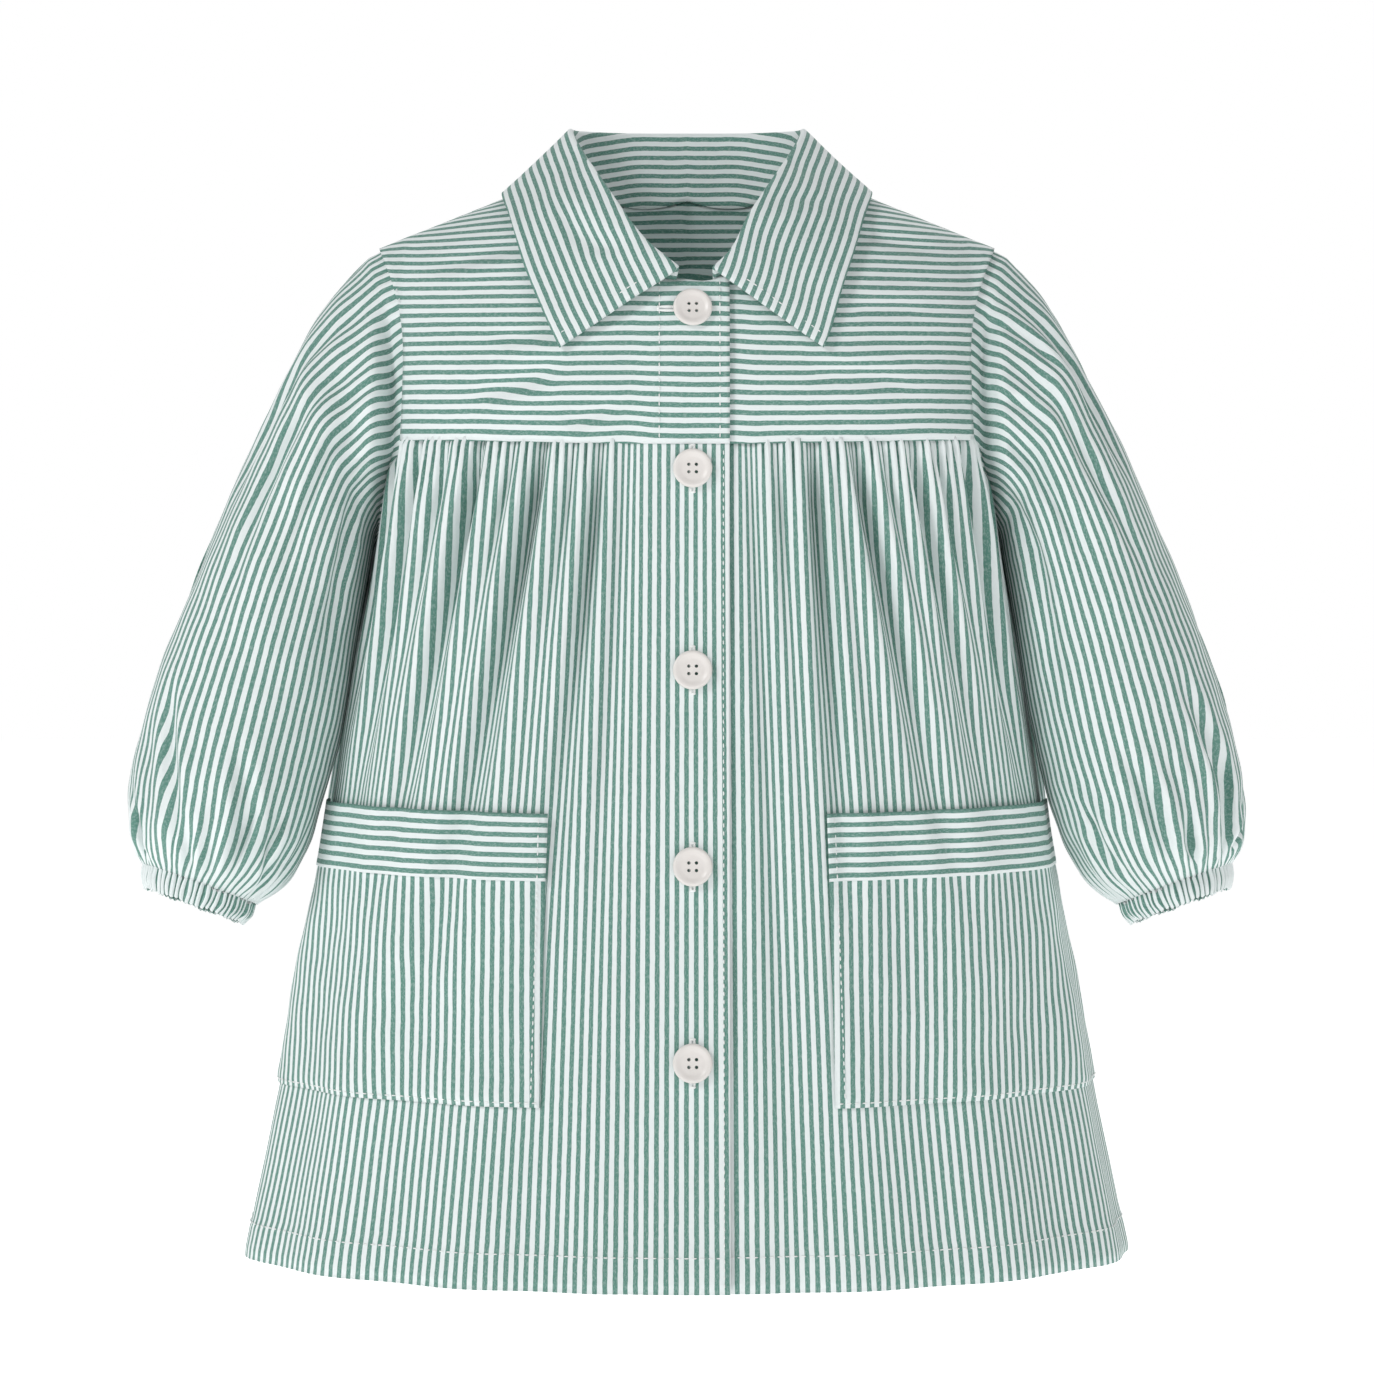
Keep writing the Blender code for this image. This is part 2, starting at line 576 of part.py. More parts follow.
def armhole_loop(round_at):
    """The left armhole's edge: 0 at the shoulder, 0.25 front, 0.5 under the arm, 0.75 back."""
    halves = []
    for facing in (-1, 1):
        turn = np.linspace(np.pi / 2, 0, CURVE_STEPS)
        upper = yoke_form(armhole_width(turn, facing), turn, facing, 0.0)
        q = np.linspace(share_at_width(ARMHOLE["half_width"][0], facing), 1, CURVE_STEPS)[1:]
        lower = skirt_form(1, facing, q, skirt_top(q, facing), 0.0)
        path = np.concatenate([upper, lower])
        run = np.concatenate([[0], np.cumsum(np.linalg.norm(np.diff(path, axis=0), axis=1))])
        halves.append((path, run / run[-1]))
    points = []
    for (path, run), share in zip(halves, (2 * round_at, 2 - 2 * round_at)):
        points.append(np.stack([np.interp(share, run, path[:, k]) for k in range(3)], axis=-1))
    return np.where((round_at <= 0.5)[:, None], points[0], points[1])


def ring_of(rows, round_at, run, out):
    """A ring of the sleeve or cuff on the left, moved out by `out`."""
    angle = 2 * np.pi * round_at
    get = {name: through(rows, name, run, "run") for name in rows if name != "run"}
    half_x, half_z = (get["outer_x"] - get["inner_x"]) / 2, (get["outer_z"] - get["inner_z"]) / 2
    width = np.hypot(half_x, half_z)
    across = (width + out) * np.cos(angle)
    front = (get["depth"] + out) * np.sin(angle)
    x = get["inner_x"] + half_x + across * half_x / width
    z = get["inner_z"] + half_z + across * half_z / width + get["tilt"] * front
    return np.stack([x, get["middle"] - front, z], axis=-1)


def sleeve_relief(side, round_at, run):
    out = 0
    for i in np.flatnonzero(SLEEVE_FOLDS["side"] == side):
        fold = {name: SLEEVE_FOLDS[name][i] for name in SLEEVE_FOLDS}
        along = (run - fold["start"]) / (fold["end"] - fold["start"])
        middle = spread(fold["start_at"], fold["end_at"], np.clip(along, 0, 1))
        apart = np.abs((round_at - middle + 0.5) % 1 - 0.5)
        out = out - fold["depth"] * bell(apart / fold["width"]) * bell(2 * along - 1) ** FOLD_FULLNESS
    return out * smooth((1.0 - run) / FOLDS_END)


def make_sleeve(side, parts):
    def form(u, v):
        grown = smooth((v - WRIST_GATHERS_START) / WRIST_GATHERS_GROW)
        ripple = WRIST_GATHER_DEPTH * np.cos(2 * np.pi * WRIST_GATHERS * u) * grown
        free = ring_of(SLEEVE, u, v, sleeve_relief(side, u, v) + ripple)
        to_armhole = armhole_loop(u) - ring_of(SLEEVE, u, np.zeros_like(v), 0.0)
        points = free + to_armhole * (1 - smooth(v / ARMHOLE_FADES))[:, None]
        points[:, 0] += SLEEVE_LEAD * (1 - smooth(v / LEAD_FADES))
        points[:, 0] *= side
        return points

    name = "sleeve_right" if side < 0 else "sleeve_left"
    bm = sheet(2 * WRIST_GATHERS, SLEEVE_ROWS, form, closed=True)
    thicken(add_object(name, bm, parts), CLOTH)


def make_cuff(side, parts):
    """A ruched band: plain inside, its ribs raised on the outside."""
    columns = 2 * CUFF_RIBS

    def form(u, v):
        points = ring_of(CUFF, u, v, 0.0)
        points[:, 0] *= side
        return points

    def ribs(u, v):
        height = np.where((v > TINY) & (v < 1 - TINY), 1.0, CUFF_EDGE)
        return height * np.where(np.round(u * columns) % 2 == 0, 1.0, CUFF_VALLEY)

    bm = sheet(columns, np.linspace(0, 1, CUFF_ROWS + 1), form, closed=True, wall_share=ribs)
    if side < 0:
        bmesh.ops.reverse_faces(bm, faces=bm.faces)
    cuff = add_object("cuff_right" if side < 0 else "cuff_left", bm, parts)
    cuff.vertex_groups.new(name="ribs")
    wall = thicken(cuff, CUFF_CLOTH, 1.0)
    wall.vertex_group = "ribs"
    wall.use_even_offset = False


def neck_point(degrees, side):
    """The neck seam by its angle from the centre back, on the wearer's left or right."""
    angle = np.radians(degrees)
    sin, cos = np.sin(angle), np.cos(angle)
    reach = np.where(cos > 0, NECK_BACK, NECK_FRONT)
    size = ((sin / NECK_HALF_WIDTH) ** NECK_ROUND + (np.abs(cos) / reach) ** NECK_ROUND) ** (-1 / NECK_ROUND)
    x = size * sin
    points = np.zeros((len(angle), 3))
    for facing in (-1, 1):
        chosen = (cos > 0) == (facing > 0)
        points[chosen] = yoke_form(x[chosen], neck_turn(x[chosen], facing), facing, 0.0)
    points[:, 0] *= side
    return points


def make_collar(parts):
    def form(u, v):
        run, side = np.abs(2 * u - 1), np.where(u < 0.5, -1.0, 1.0)
        get = {name: through(COLLAR, name, run, "run") for name in COLLAR if name != "run"}
        shift = smooth((run - COLLAR_SHIFT_FROM) / (1 - COLLAR_SHIFT_FROM))
        shift = np.where(side > 0, COLLAR_LEFT_SHIFT, 0.0) * shift
        seam = neck_point(get["neck"] - COLLAR_LEFT_TURN * shift / COLLAR_LEFT_SHIFT, side)
        roll = np.stack([side * get["roll_x"] + shift, get["roll_y"], get["roll_z"]], axis=-1)
        edge_x = side * get["edge_x"] + shift * COLLAR_EDGE_SHIFT
        edge = np.stack([edge_x, get["edge_y"], get["edge_z"]], axis=-1)
        edge = off_yoke(edge, COLLAR_CLEAR, 1.0)
        roll = off_yoke(roll, COLLAR_CLEAR + STAND_ROOM, 0.0)
        seam[:, 2] += CLOTH / 2 + COLLAR_CLOTH / 2 + NECK_GAP
        outward = np.stack([roll[:, 0], roll[:, 1] * COLLAR_OUTWARD, np.zeros_like(run)], axis=-1)
        outward /= np.linalg.norm(outward, axis=1)[:, None]
        across = v * COLLAR_SECTION["across"][-1]
        names = ("rise", "fall", "roll")
        section = {name: through(COLLAR_SECTION, name, across, "across") for name in names}
        rise, fall, turn = [section[name][:, None] for name in names]
        stand = spread(seam, roll, rise)
        points = spread(stand, edge, fall) + outward * COLLAR_ROLL * turn * (1 - 0.5 * fall)
        points[:, 2] += COLLAR_ROLL * (1 - np.abs(section["roll"]))
        closing = smooth((section["fall"] - STAND_ENDS[0]) / (STAND_ENDS[1] - STAND_ENDS[0]))
        clear = COLLAR_CLEAR + STAND_ROOM * (1 - closing)
        falling = section["roll"] > 0
        points[falling] = off_yoke(points[falling], clear[falling], 0.0)
        return points

    bm = sheet(COLLAR_COLUMNS, np.linspace(0, 1, len(COLLAR_SECTION["across"])), form)
    thicken(add_object("collar", bm, parts), COLLAR_CLOTH)


def on_skirt(side, u, z, lift):
    """Points on the front panel between the pocket's two sides, lifted off its cloth."""
    inner = spread(POCKET_INNER_TOP, POCKET_INNER_BOTTOM, (POCKET_TOP - z) / (POCKET_TOP - POCKET_BOTTOM))
    length = quarter_length(z, -1)
    q = spread(inner / length, POCKET_OUTER, u)
    return skirt_form(side, -1, q, z, skirt_relief(side, -1, q, z) + lift)


def make_pocket(side, parts):
    def bag(u, v):
        z = spread(POCKET_BAND_BOTTOM - SEAM_GAP, POCKET_BOTTOM, v)
        puff = POCKET_PUFF * np.sin(np.pi * u) ** POCKET_FULLNESS * np.sin(np.pi * v)
        return on_skirt(side, u, z, POCKET_LIFT + puff)

    def band(u, v):
        return on_skirt(side, u, spread(POCKET_TOP, POCKET_BAND_BOTTOM, v), BAND_LIFT)

    name = "right" if side < 0 else "left"
    bag_mesh = sheet(POCKET_COLUMNS, np.linspace(0, 1, 8), bag)
    band_mesh = sheet(POCKET_COLUMNS, (0, 0.5, 1), band)
    thicken(add_object("pocket_" + name, bag_mesh, parts), CLOTH)
    thicken(add_object("pocket_band_" + name, band_mesh, parts), BAND_CLOTH)


def button_place(z):
    """The matrix that lays a button on the button stand at a height."""
    places = []
    for x_step, z_step in ((0, 0), (0.001, 0), (0, 0.001)):
        x = np.array([-(BUTTON_AT + x_step)])
        height = np.array([z + z_step + FRONT_DIP])
        if z > YOKE_SEAM:
            rise = (z + z_step - YOKE_SEAM + FRONT_DIP) / (shoulder_height(x) - YOKE_SEAM + FRONT_DIP)
            turn = np.arcsin(rise ** (FRONT_ROUND / 2))
            point = yoke_form(x, turn, -1, BUTTON_LIFT)
            point[:, 0] *= -1
        else:
            q = x / quarter_length(height, -1)
            point = skirt_form(-1, -1, q, height, BUTTON_LIFT)
        places.append(Vector(point[0]))
    across, up = (places[1] - places[0]).normalized(), (places[2] - places[0]).normalized()
    normal = across.cross(up).normalized()
    return Matrix.LocRotScale(places[0], Matrix((across, normal.cross(across), normal)).transposed(), None)


def make_button(number, z, parts, cutters):
    bm = bmesh.new()
    profile = [bm.verts.new((r, 0, h)) for r, h in zip(BUTTON_PROFILE["radius"], BUTTON_PROFILE["height"])]
    for first, second in zip(profile, profile[1:]):
        bm.edges.new((first, second))
    name = f"button_{number}"
    button = add_object(name, bm, parts, IVORY, 0.3)
    turned = button.modifiers.new("Turned", "SCREW")
    turned.steps = turned.render_steps = BUTTON_STEPS
    turned.use_merge_vertices = True
    turned.merge_threshold = 1e-6
    holes = bmesh.new()
    for x in (-1, 1):
        for y in (-1, 1):
            at = Matrix.Translation((x * BUTTON_HOLE_SPACING, y * BUTTON_HOLE_SPACING, 0))
            bmesh.ops.create_cone(
                holes,
                cap_ends=True,
                segments=5,
                radius1=BUTTON_HOLE_RADIUS,
                radius2=BUTTON_HOLE_RADIUS,
                depth=0.02,
                matrix=at,
            )
    cutter = add_object(name + "_holes", holes, cutters)
    cutter.hide_render = True
    cutter.display_type = "WIRE"
    cut = button.modifiers.new("Holes", "BOOLEAN")
    cut.operation = "DIFFERENCE"
    cut.solver = "EXACT"
    cut.object = cutter
    button.matrix_world = cutter.matrix_world = button_place(z)


def main():
    for old in list(bpy.data.objects):
        bpy.data.objects.remove(old, do_unlink=True)
    parts = bpy.data.collections.new("school_smock")
    cutters = bpy.data.collections.new("cutters")
    cutters.hide_render = True
    for collection in (parts, cutters):
        bpy.context.scene.collection.children.link(collection)
    make_yoke_back(parts)
    make_skirt_back(parts)
    make_collar(parts)
    for side in (-1, 1):
        make_yoke_front(side, parts)
        make_skirt_front(side, parts)
        make_sleeve(side, parts)
        make_cuff(side, parts)
        make_pocket(side, parts)
    for number, z in enumerate(BUTTON_HEIGHTS, start=1):
        make_button(number, z, parts, cutters)


main()
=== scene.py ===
# School smock, filled out as it is worn. Metres, +Z up, -Y is the front, +X is the wearer's left.
import math

import bmesh
import bpy
import numpy as np
from mathutils import Matrix, Vector


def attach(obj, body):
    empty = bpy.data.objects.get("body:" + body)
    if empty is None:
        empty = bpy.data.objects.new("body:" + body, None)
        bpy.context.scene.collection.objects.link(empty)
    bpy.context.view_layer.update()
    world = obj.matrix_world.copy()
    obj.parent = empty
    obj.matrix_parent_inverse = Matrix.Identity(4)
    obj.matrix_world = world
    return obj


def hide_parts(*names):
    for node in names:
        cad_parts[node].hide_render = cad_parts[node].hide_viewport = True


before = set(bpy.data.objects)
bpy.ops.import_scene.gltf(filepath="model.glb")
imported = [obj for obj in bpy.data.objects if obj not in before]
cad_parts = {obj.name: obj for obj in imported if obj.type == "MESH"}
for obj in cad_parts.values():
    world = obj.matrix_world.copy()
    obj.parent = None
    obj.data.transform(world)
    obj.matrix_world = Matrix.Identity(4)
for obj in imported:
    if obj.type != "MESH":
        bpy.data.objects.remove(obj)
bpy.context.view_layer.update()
print("frame loaded:", len(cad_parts), "nodes")


def table(names, *rows):
    return dict(zip(names.split(), np.array(rows, float).T))


shot = dict(distance=2.1, height=-0.241, lens=110.1)
cameraData = bpy.data.cameras.new("shotCamera")
cameraData.lens = shot["lens"]
cameraData.sensor_width = 36.0
cameraData.clip_start = 0.1
camera = bpy.data.objects.new("shotCamera", cameraData)
camera.location = (0.0, -shot["distance"], shot["height"])
camera.rotation_euler = (math.pi / 2, 0, 0)
bpy.context.scene.collection.objects.link(camera)
bpy.context.scene.camera = camera

cloth = dict(thickness=0.0008, pitch=0.00478, threads=0.00038, tuck=0.0010)
seam, hem, underarm, frontDip = -0.118, -0.5205, -0.1600, 0.0054
shoulder = dict(peak=0.0385, slope=0.397, frontRound=1.85, backRound=2.0, gap=0.0002)
neck = dict(halfWidth=0.057, front=0.0747, back=0.051, round=2.4)
stand = dict(over=0.0205, under=0.0150, rise=0.0012, fade=0.014)
bodyRings = table(
    "height half front back square",
    (-0.5205, 0.2200, 0.1310, 0.1240, 2.20),
    (-0.4400, 0.2034, 0.1215, 0.1160, 2.25),
    (-0.3300, 0.1815, 0.1095, 0.1055, 2.40),
    (-0.2400, 0.1668, 0.0995, 0.0965, 2.60),
    (-0.1600, 0.1528, 0.0915, 0.0885, 2.90),
    (-0.1180, 0.1470, 0.0880, 0.0850, 3.00),
)
armholeEdge = table("rise half", (0.00, 0.1400), (0.25, 0.1388), (0.54, 0.1398), (0.74, 0.1445), (1.00, 0.1535))


def soft(x):
    x = np.clip(x, 0.0, 1.0)
    return x * x * (3 - 2 * x)


def hump(x):
    return 0.5 + 0.5 * np.cos(np.pi * np.clip(x, -1.0, 1.0))


def mixed(start, end, share):
    return start + (end - start) * share


def curveAt(rows, name, at, by):
    xs, ys = rows[by], rows[name]
    slopes = np.gradient(ys, xs)
    i = np.clip(np.searchsorted(xs, at) - 1, 0, len(xs) - 2)
    width = xs[i + 1] - xs[i]
    t = np.clip((at - xs[i]) / width, 0.0, 1.0)
    lift = soft(t)
    bend = t * (1 - t)
    return ys[i] * (1 - lift) + ys[i + 1] * lift + width * bend * ((1 - t) * slopes[i] - t * slopes[i + 1])


def bodyAt(z, facing):
    depth = curveAt(bodyRings, "back" if facing > 0 else "front", z, "height")
    return curveAt(bodyRings, "half", z, "height"), depth, curveAt(bodyRings, "square", z, "height")


def ringPoint(angle, half, depth, square):
    sin, cos = np.sin(angle), np.cos(angle)
    reach = (np.abs(sin / half) ** square + np.abs(cos / depth) ** square) ** (-1 / square)
    x, y = reach * sin, reach * cos
    outX = np.sign(x) * np.abs(x / half) ** (square - 1) / half
    outY = np.sign(y) * np.abs(y / depth) ** (square - 1) / depth
    size = np.hypot(outX, outY)
    return x, y, outX / size, outY / size


ringTable = {}
for facing in (-1, 1):
    for height in (seam, hem):
        angles = np.linspace(0, np.pi / 2, 400)
        ringX, ringY, _, _ = ringPoint(angles, *bodyAt(height, facing))
        ringRun = np.concatenate([[0], np.cumsum(np.hypot(np.diff(ringX), np.diff(ringY)))])
        ringTable[facing, height] = (angles, ringRun, ringX)


def downShare(z):
    return np.clip((seam - z) / (seam - hem), 0.0, 1.0)


def quarterLength(z, facing):
    top, bottom = ringTable[facing, seam][1][-1], ringTable[facing, hem][1][-1]
    return mixed(top, bottom, downShare(z))


def angleAt(q, z, facing):
    found = []
    for height in (seam, hem):
        angles, run, _ = ringTable[facing, height]
        found.append(np.sign(q) * np.interp(np.abs(q), run / run[-1], angles))
    return mixed(found[0], found[1], downShare(z))


def shareAtWidth(x, facing):
    _, run, widths = ringTable[facing, seam]
    return np.interp(np.abs(x), widths, run / run[-1])


def dipAt(q, facing):
    return frontDip * (1 - np.clip(q * q, 0.0, 1.0)) ** 1.5 * (facing < 0)


def skirtTop(q, facing):
    armhole = shareAtWidth(armholeEdge["half"][0], facing)
    under = np.clip((np.abs(q) - armhole) / (1 - armhole), 0.0, 1.0)
    return seam + (underarm - seam) * np.sin(under * np.pi / 2)


def skirtForm(side, facing, q, z, out):
    x, y, outX, outY = ringPoint(angleAt(q, z, facing), *bodyAt(z, facing))
    return np.stack([side * (x + out * outX), facing * (y + out * outY), z - dipAt(q, facing)], axis=-1)


def lapAt(x):
    inside = soft((x + stand["under"] + stand["fade"]) / stand["fade"])
    return inside * soft((stand["over"] + stand["fade"] - x) / stand["fade"])


def chestDepth(x, facing):
    half, depth, square = bodyAt(seam, facing)
    within = np.minimum(np.abs(x), armholeEdge["half"][0])
    return depth * (1 - (within / half) ** square) ** (1 / square)


def shoulderHeight(x):
    return shoulder["peak"] - shoulder["slope"] * np.abs(x)


def roundOf(facing):
    return shoulder["backRound"] if facing > 0 else shoulder["frontRound"]


def armholeHalf(turn, facing):
    return curveAt(armholeEdge, "half", np.sin(turn) ** (2 / roundOf(facing)), "rise")


def neckTurn(x, facing):
    inside = np.clip(1 - np.abs(x / neck["halfWidth"]) ** neck["round"], 0.0, 1.0)
    share = neck["back" if facing > 0 else "front"] * inside ** (1 / neck["round"]) / chestDepth(x, facing)
    return np.arccos(np.clip(share, 0.0, 1.0) ** (roundOf(facing) / 2))


def yokeForm(x, turn, facing, out):
    roundness = roundOf(facing)
    depth, height = chestDepth(x, facing), shoulderHeight(x) - seam
    back, rise = np.cos(turn) ** (2 / roundness), np.sin(turn) ** (2 / roundness)
    outY, outZ = back ** (roundness - 1) / depth, rise ** (roundness - 1) / height
    size = np.hypot(outY, outZ)
    z = seam + height * rise + out * outZ / size - dipAt(shareAtWidth(x, facing), facing) * (1 - rise)
    return np.stack([x, facing * (depth * back + out * outY / size + shoulder["gap"] / 2), z], axis=-1)


def offYoke(points, clear, exact):
    def outside(p):
        value = 0
        for facing, chosen in ((1, p[..., 1] > 0), (-1, p[..., 1] <= 0)):
            roundness = roundOf(facing)
            level = (np.abs(p[..., 1]) / chestDepth(p[..., 0], facing)) ** roundness
            up = np.clip(p[..., 2] - seam, 0, None) / (shoulderHeight(p[..., 0]) - seam)
            value = value + np.where(chosen, (level + up**roundness) ** (1 / roundness) - 1, 0)
        return value

    step = 1e-5
    for _ in range(4):
        here = outside(points)
        slope = np.stack([(outside(points + step * axis) - here) / step for axis in np.eye(3)], axis=-1)
        steep = np.linalg.norm(slope, axis=-1)
        short = clear - here / steep
        move = np.maximum(short, 0) * (1 - exact) + short * exact
        points = points + slope / steep[..., None] * move[..., None]
    return points


def uneven(a, b, size, seed):  # slow, even-handed waves that keep panels from looking machined
    total = 0
    for k, (fa, fb, weight) in enumerate(((1.0, 0.35, 0.5), (0.55, -0.8, 0.35), (1.9, 1.1, 0.22), (-1.4, 2.3, 0.16))):
        total = total + weight * np.sin(2 * np.pi * (a * fa + b * fb) / size + seed * 2.1 + 1.7 * k)
    return total


def creased(a, b, lines):  # each line: from a, b to a, b, half width, depth, all in metres on the panel
    out = 0
    for fromA, fromB, toA, toB, width, depth in lines:
        runA, runB = toA - fromA, toB - fromB
        length = math.hypot(runA, runB)
        along = ((a - fromA) * runA + (b - fromB) * runB) / length**2
        off = ((a - fromA) * runB - (b - fromB) * runA) / length
        off = off + width * 0.8 * np.sin(3.1 * along + 40 * fromA)
        held = soft((along + 0.12) / 0.4) * soft((1.12 - along) / 0.4)
        trough, ridge = np.exp(-((off / width) ** 2)), np.exp(-(((off - 1.9 * width) / width) ** 2))
        out = out - depth * held * (trough - 0.45 * ridge)
    return out


def addNode(tree, kind, x, y, **values):
    node = tree.nodes.new(kind)
    node.location = (x, y)
    for name, value in values.items():
        setattr(node, name, value)
    return node


def mathNode(tree, operation, x, y, first, second=None, third=None):
    node = addNode(tree, "ShaderNodeMath", x, y, operation=operation)
    for socket, value in zip(node.inputs, (first, second, third)):
        if value is None:
            continue
        if isinstance(value, (int, float)):
            socket.default_value = value
        else:
            tree.links.new(value, socket)
    return node.outputs[0]


def makeWovenStripes():
    # across runs over the stripes and along runs with them, both in metres on the flat cloth
    group = bpy.data.node_groups.new("wovenStripes", "ShaderNodeTree")
    for name, kind in (("Across", "NodeSocketFloat"), ("Along", "NodeSocketFloat"), ("Place", "NodeSocketVector"),
                       ("Stripe Pitch", "NodeSocketFloat"), ("Dark", "NodeSocketColor"), ("Pale", "NodeSocketColor")):
        group.interface.new_socket(name, in_out="INPUT", socket_type=kind)
    for name, kind in (("Color", "NodeSocketColor"), ("Height", "NodeSocketFloat"), ("Roughness", "NodeSocketFloat")):
        group.interface.new_socket(name, in_out="OUTPUT", socket_type=kind)
    given = addNode(group, "NodeGroupInput", -1400, 0)
    result = addNode(group, "NodeGroupOutput", 900, 0)
    link = group.links.new
    across, along = given.outputs["Across"], given.outputs["Along"]
    flat = addNode(group, "ShaderNodeCombineXYZ", -1200, -300)
    link(across, flat.inputs[0])
    link(along, flat.inputs[1])
    sway = addNode(group, "ShaderNodeTexNoise", -1000, 300)  # the stripe's edge is never quite straight
    sway.inputs["Scale"].default_value = 160
    sway.inputs["Detail"].default_value = 2
    link(flat.outputs[0], sway.inputs["Vector"])
    swayed = mathNode(group, "MULTIPLY_ADD", -800, 300, sway.outputs["Fac"], 0.0005, across)
    inPitches = mathNode(group, "DIVIDE", -620, 300, swayed, given.outputs["Stripe Pitch"])
    phase = mathNode(group, "FRACT", -450, 300, inPitches)
    apart = mathNode(group, "ABSOLUTE", -100, 300, mathNode(group, "SUBTRACT", -280, 300, phase, 0.5))
    edge = addNode(group, "ShaderNodeMapRange", 80, 300, interpolation_type="SMOOTHSTEP")
    edge.inputs["From Min"].default_value = 0.246
    edge.inputs["From Max"].default_value = 0.274
    link(apart, edge.inputs["Value"])
    threads = 2 * math.pi / cloth["threads"]  # one over, one under
    warp = mathNode(group, "SINE", -800, -200, mathNode(group, "MULTIPLY", -1000, -200, across, threads))
    weft = mathNode(group, "SINE", -800, -350, mathNode(group, "MULTIPLY", -1000, -350, along, threads))
    crossing = mathNode(group, "MULTIPLY", -600, -250, warp, weft)
    slub = addNode(group, "ShaderNodeTexNoise", -800, -520)
    slub.inputs["Scale"].default_value = 1500
    slub.inputs["Detail"].default_value = 2
    slub.inputs["Roughness"].default_value = 0.7
    stretched = addNode(group, "ShaderNodeVectorMath", -1000, -520, operation="MULTIPLY")
    stretched.inputs[1].default_value = (1.0, 0.35, 1.0)
    link(flat.outputs[0], stretched.inputs[0])
    link(stretched.outputs[0], slub.inputs["Vector"])
    broad = addNode(group, "ShaderNodeTexNoise", -800, -760)
    broad.inputs["Scale"].default_value = 14
    broad.inputs["Detail"].default_value = 3
    link(given.outputs["Place"], broad.inputs["Vector"])
    fleck = addNode(group, "ShaderNodeMapRange", -450, -520)
    fleck.inputs["From Min"].default_value = 0.45
    fleck.inputs["From Max"].default_value = 0.72
    fleck.inputs["To Max"].default_value = 0.26
    link(slub.outputs["Fac"], fleck.inputs["Value"])
    dark = addNode(group, "ShaderNodeMix", 100, 0, data_type="RGBA")
    link(fleck.outputs[0], dark.inputs["Factor"])
    link(given.outputs["Dark"], dark.inputs["A"])
    link(given.outputs["Pale"], dark.inputs["B"])
    pale = addNode(group, "ShaderNodeMix", 100, -220, data_type="RGBA")
    link(mathNode(group, "MULTIPLY", -100, -300, fleck.outputs[0], 0.16), pale.inputs["Factor"])
    link(given.outputs["Pale"], pale.inputs["A"])
    link(given.outputs["Dark"], pale.inputs["B"])
    striped = addNode(group, "ShaderNodeMix", 350, 100, data_type="RGBA")
    link(edge.outputs[0], striped.inputs["Factor"])
    link(pale.outputs["Result"], striped.inputs["A"])
    link(dark.outputs["Result"], striped.inputs["B"])
    toned = addNode(group, "ShaderNodeHueSaturation", 600, 100)
    value = addNode(group, "ShaderNodeMapRange", 350, -150)
    value.inputs["To Min"].default_value = 0.95
    value.inputs["To Max"].default_value = 1.05
    link(broad.outputs["Fac"], value.inputs["Value"])
    link(value.outputs[0], toned.inputs["Value"])
    link(striped.outputs["Result"], toned.inputs["Color"])
    link(toned.outputs[0], result.inputs["Color"])
    height = mathNode(group, "MULTIPLY_ADD", 350, -450, crossing, 0.5, slub.outputs["Fac"])
    link(height, result.inputs["Height"])
    link(mathNode(group, "MULTIPLY_ADD", 350, -620, slub.outputs["Fac"], 0.12, 0.76), result.inputs["Roughness"])
    return group


def makeFineCreases():
    group = bpy.data.node_groups.new("fineCreases", "ShaderNodeTree")
    for name, kind in (("Place", "NodeSocketVector"), ("Size", "NodeSocketFloat"), ("Stretch", "NodeSocketVector")):
        group.interface.new_socket(name, in_out="INPUT", socket_type=kind)
    group.interface.new_socket("Height", in_out="OUTPUT", socket_type="NodeSocketFloat")
    given = addNode(group, "NodeGroupInput", -600, 0)
    result = addNode(group, "NodeGroupOutput", 500, 0)
    place = addNode(group, "ShaderNodeVectorMath", -400, 0, operation="MULTIPLY")
    group.links.new(given.outputs["Place"], place.inputs[0])
    group.links.new(given.outputs["Stretch"], place.inputs[1])
    rough = addNode(group, "ShaderNodeTexNoise", -180, 0)
    rough.inputs["Detail"].default_value = 3
    rough.inputs["Distortion"].default_value = 0.6
    group.links.new(place.outputs[0], rough.inputs["Vector"])
    group.links.new(given.outputs["Size"], rough.inputs["Scale"])
    group.links.new(rough.outputs["Fac"], result.inputs["Height"])
    return group


wovenStripes = makeWovenStripes()
fineCreases = makeFineCreases()


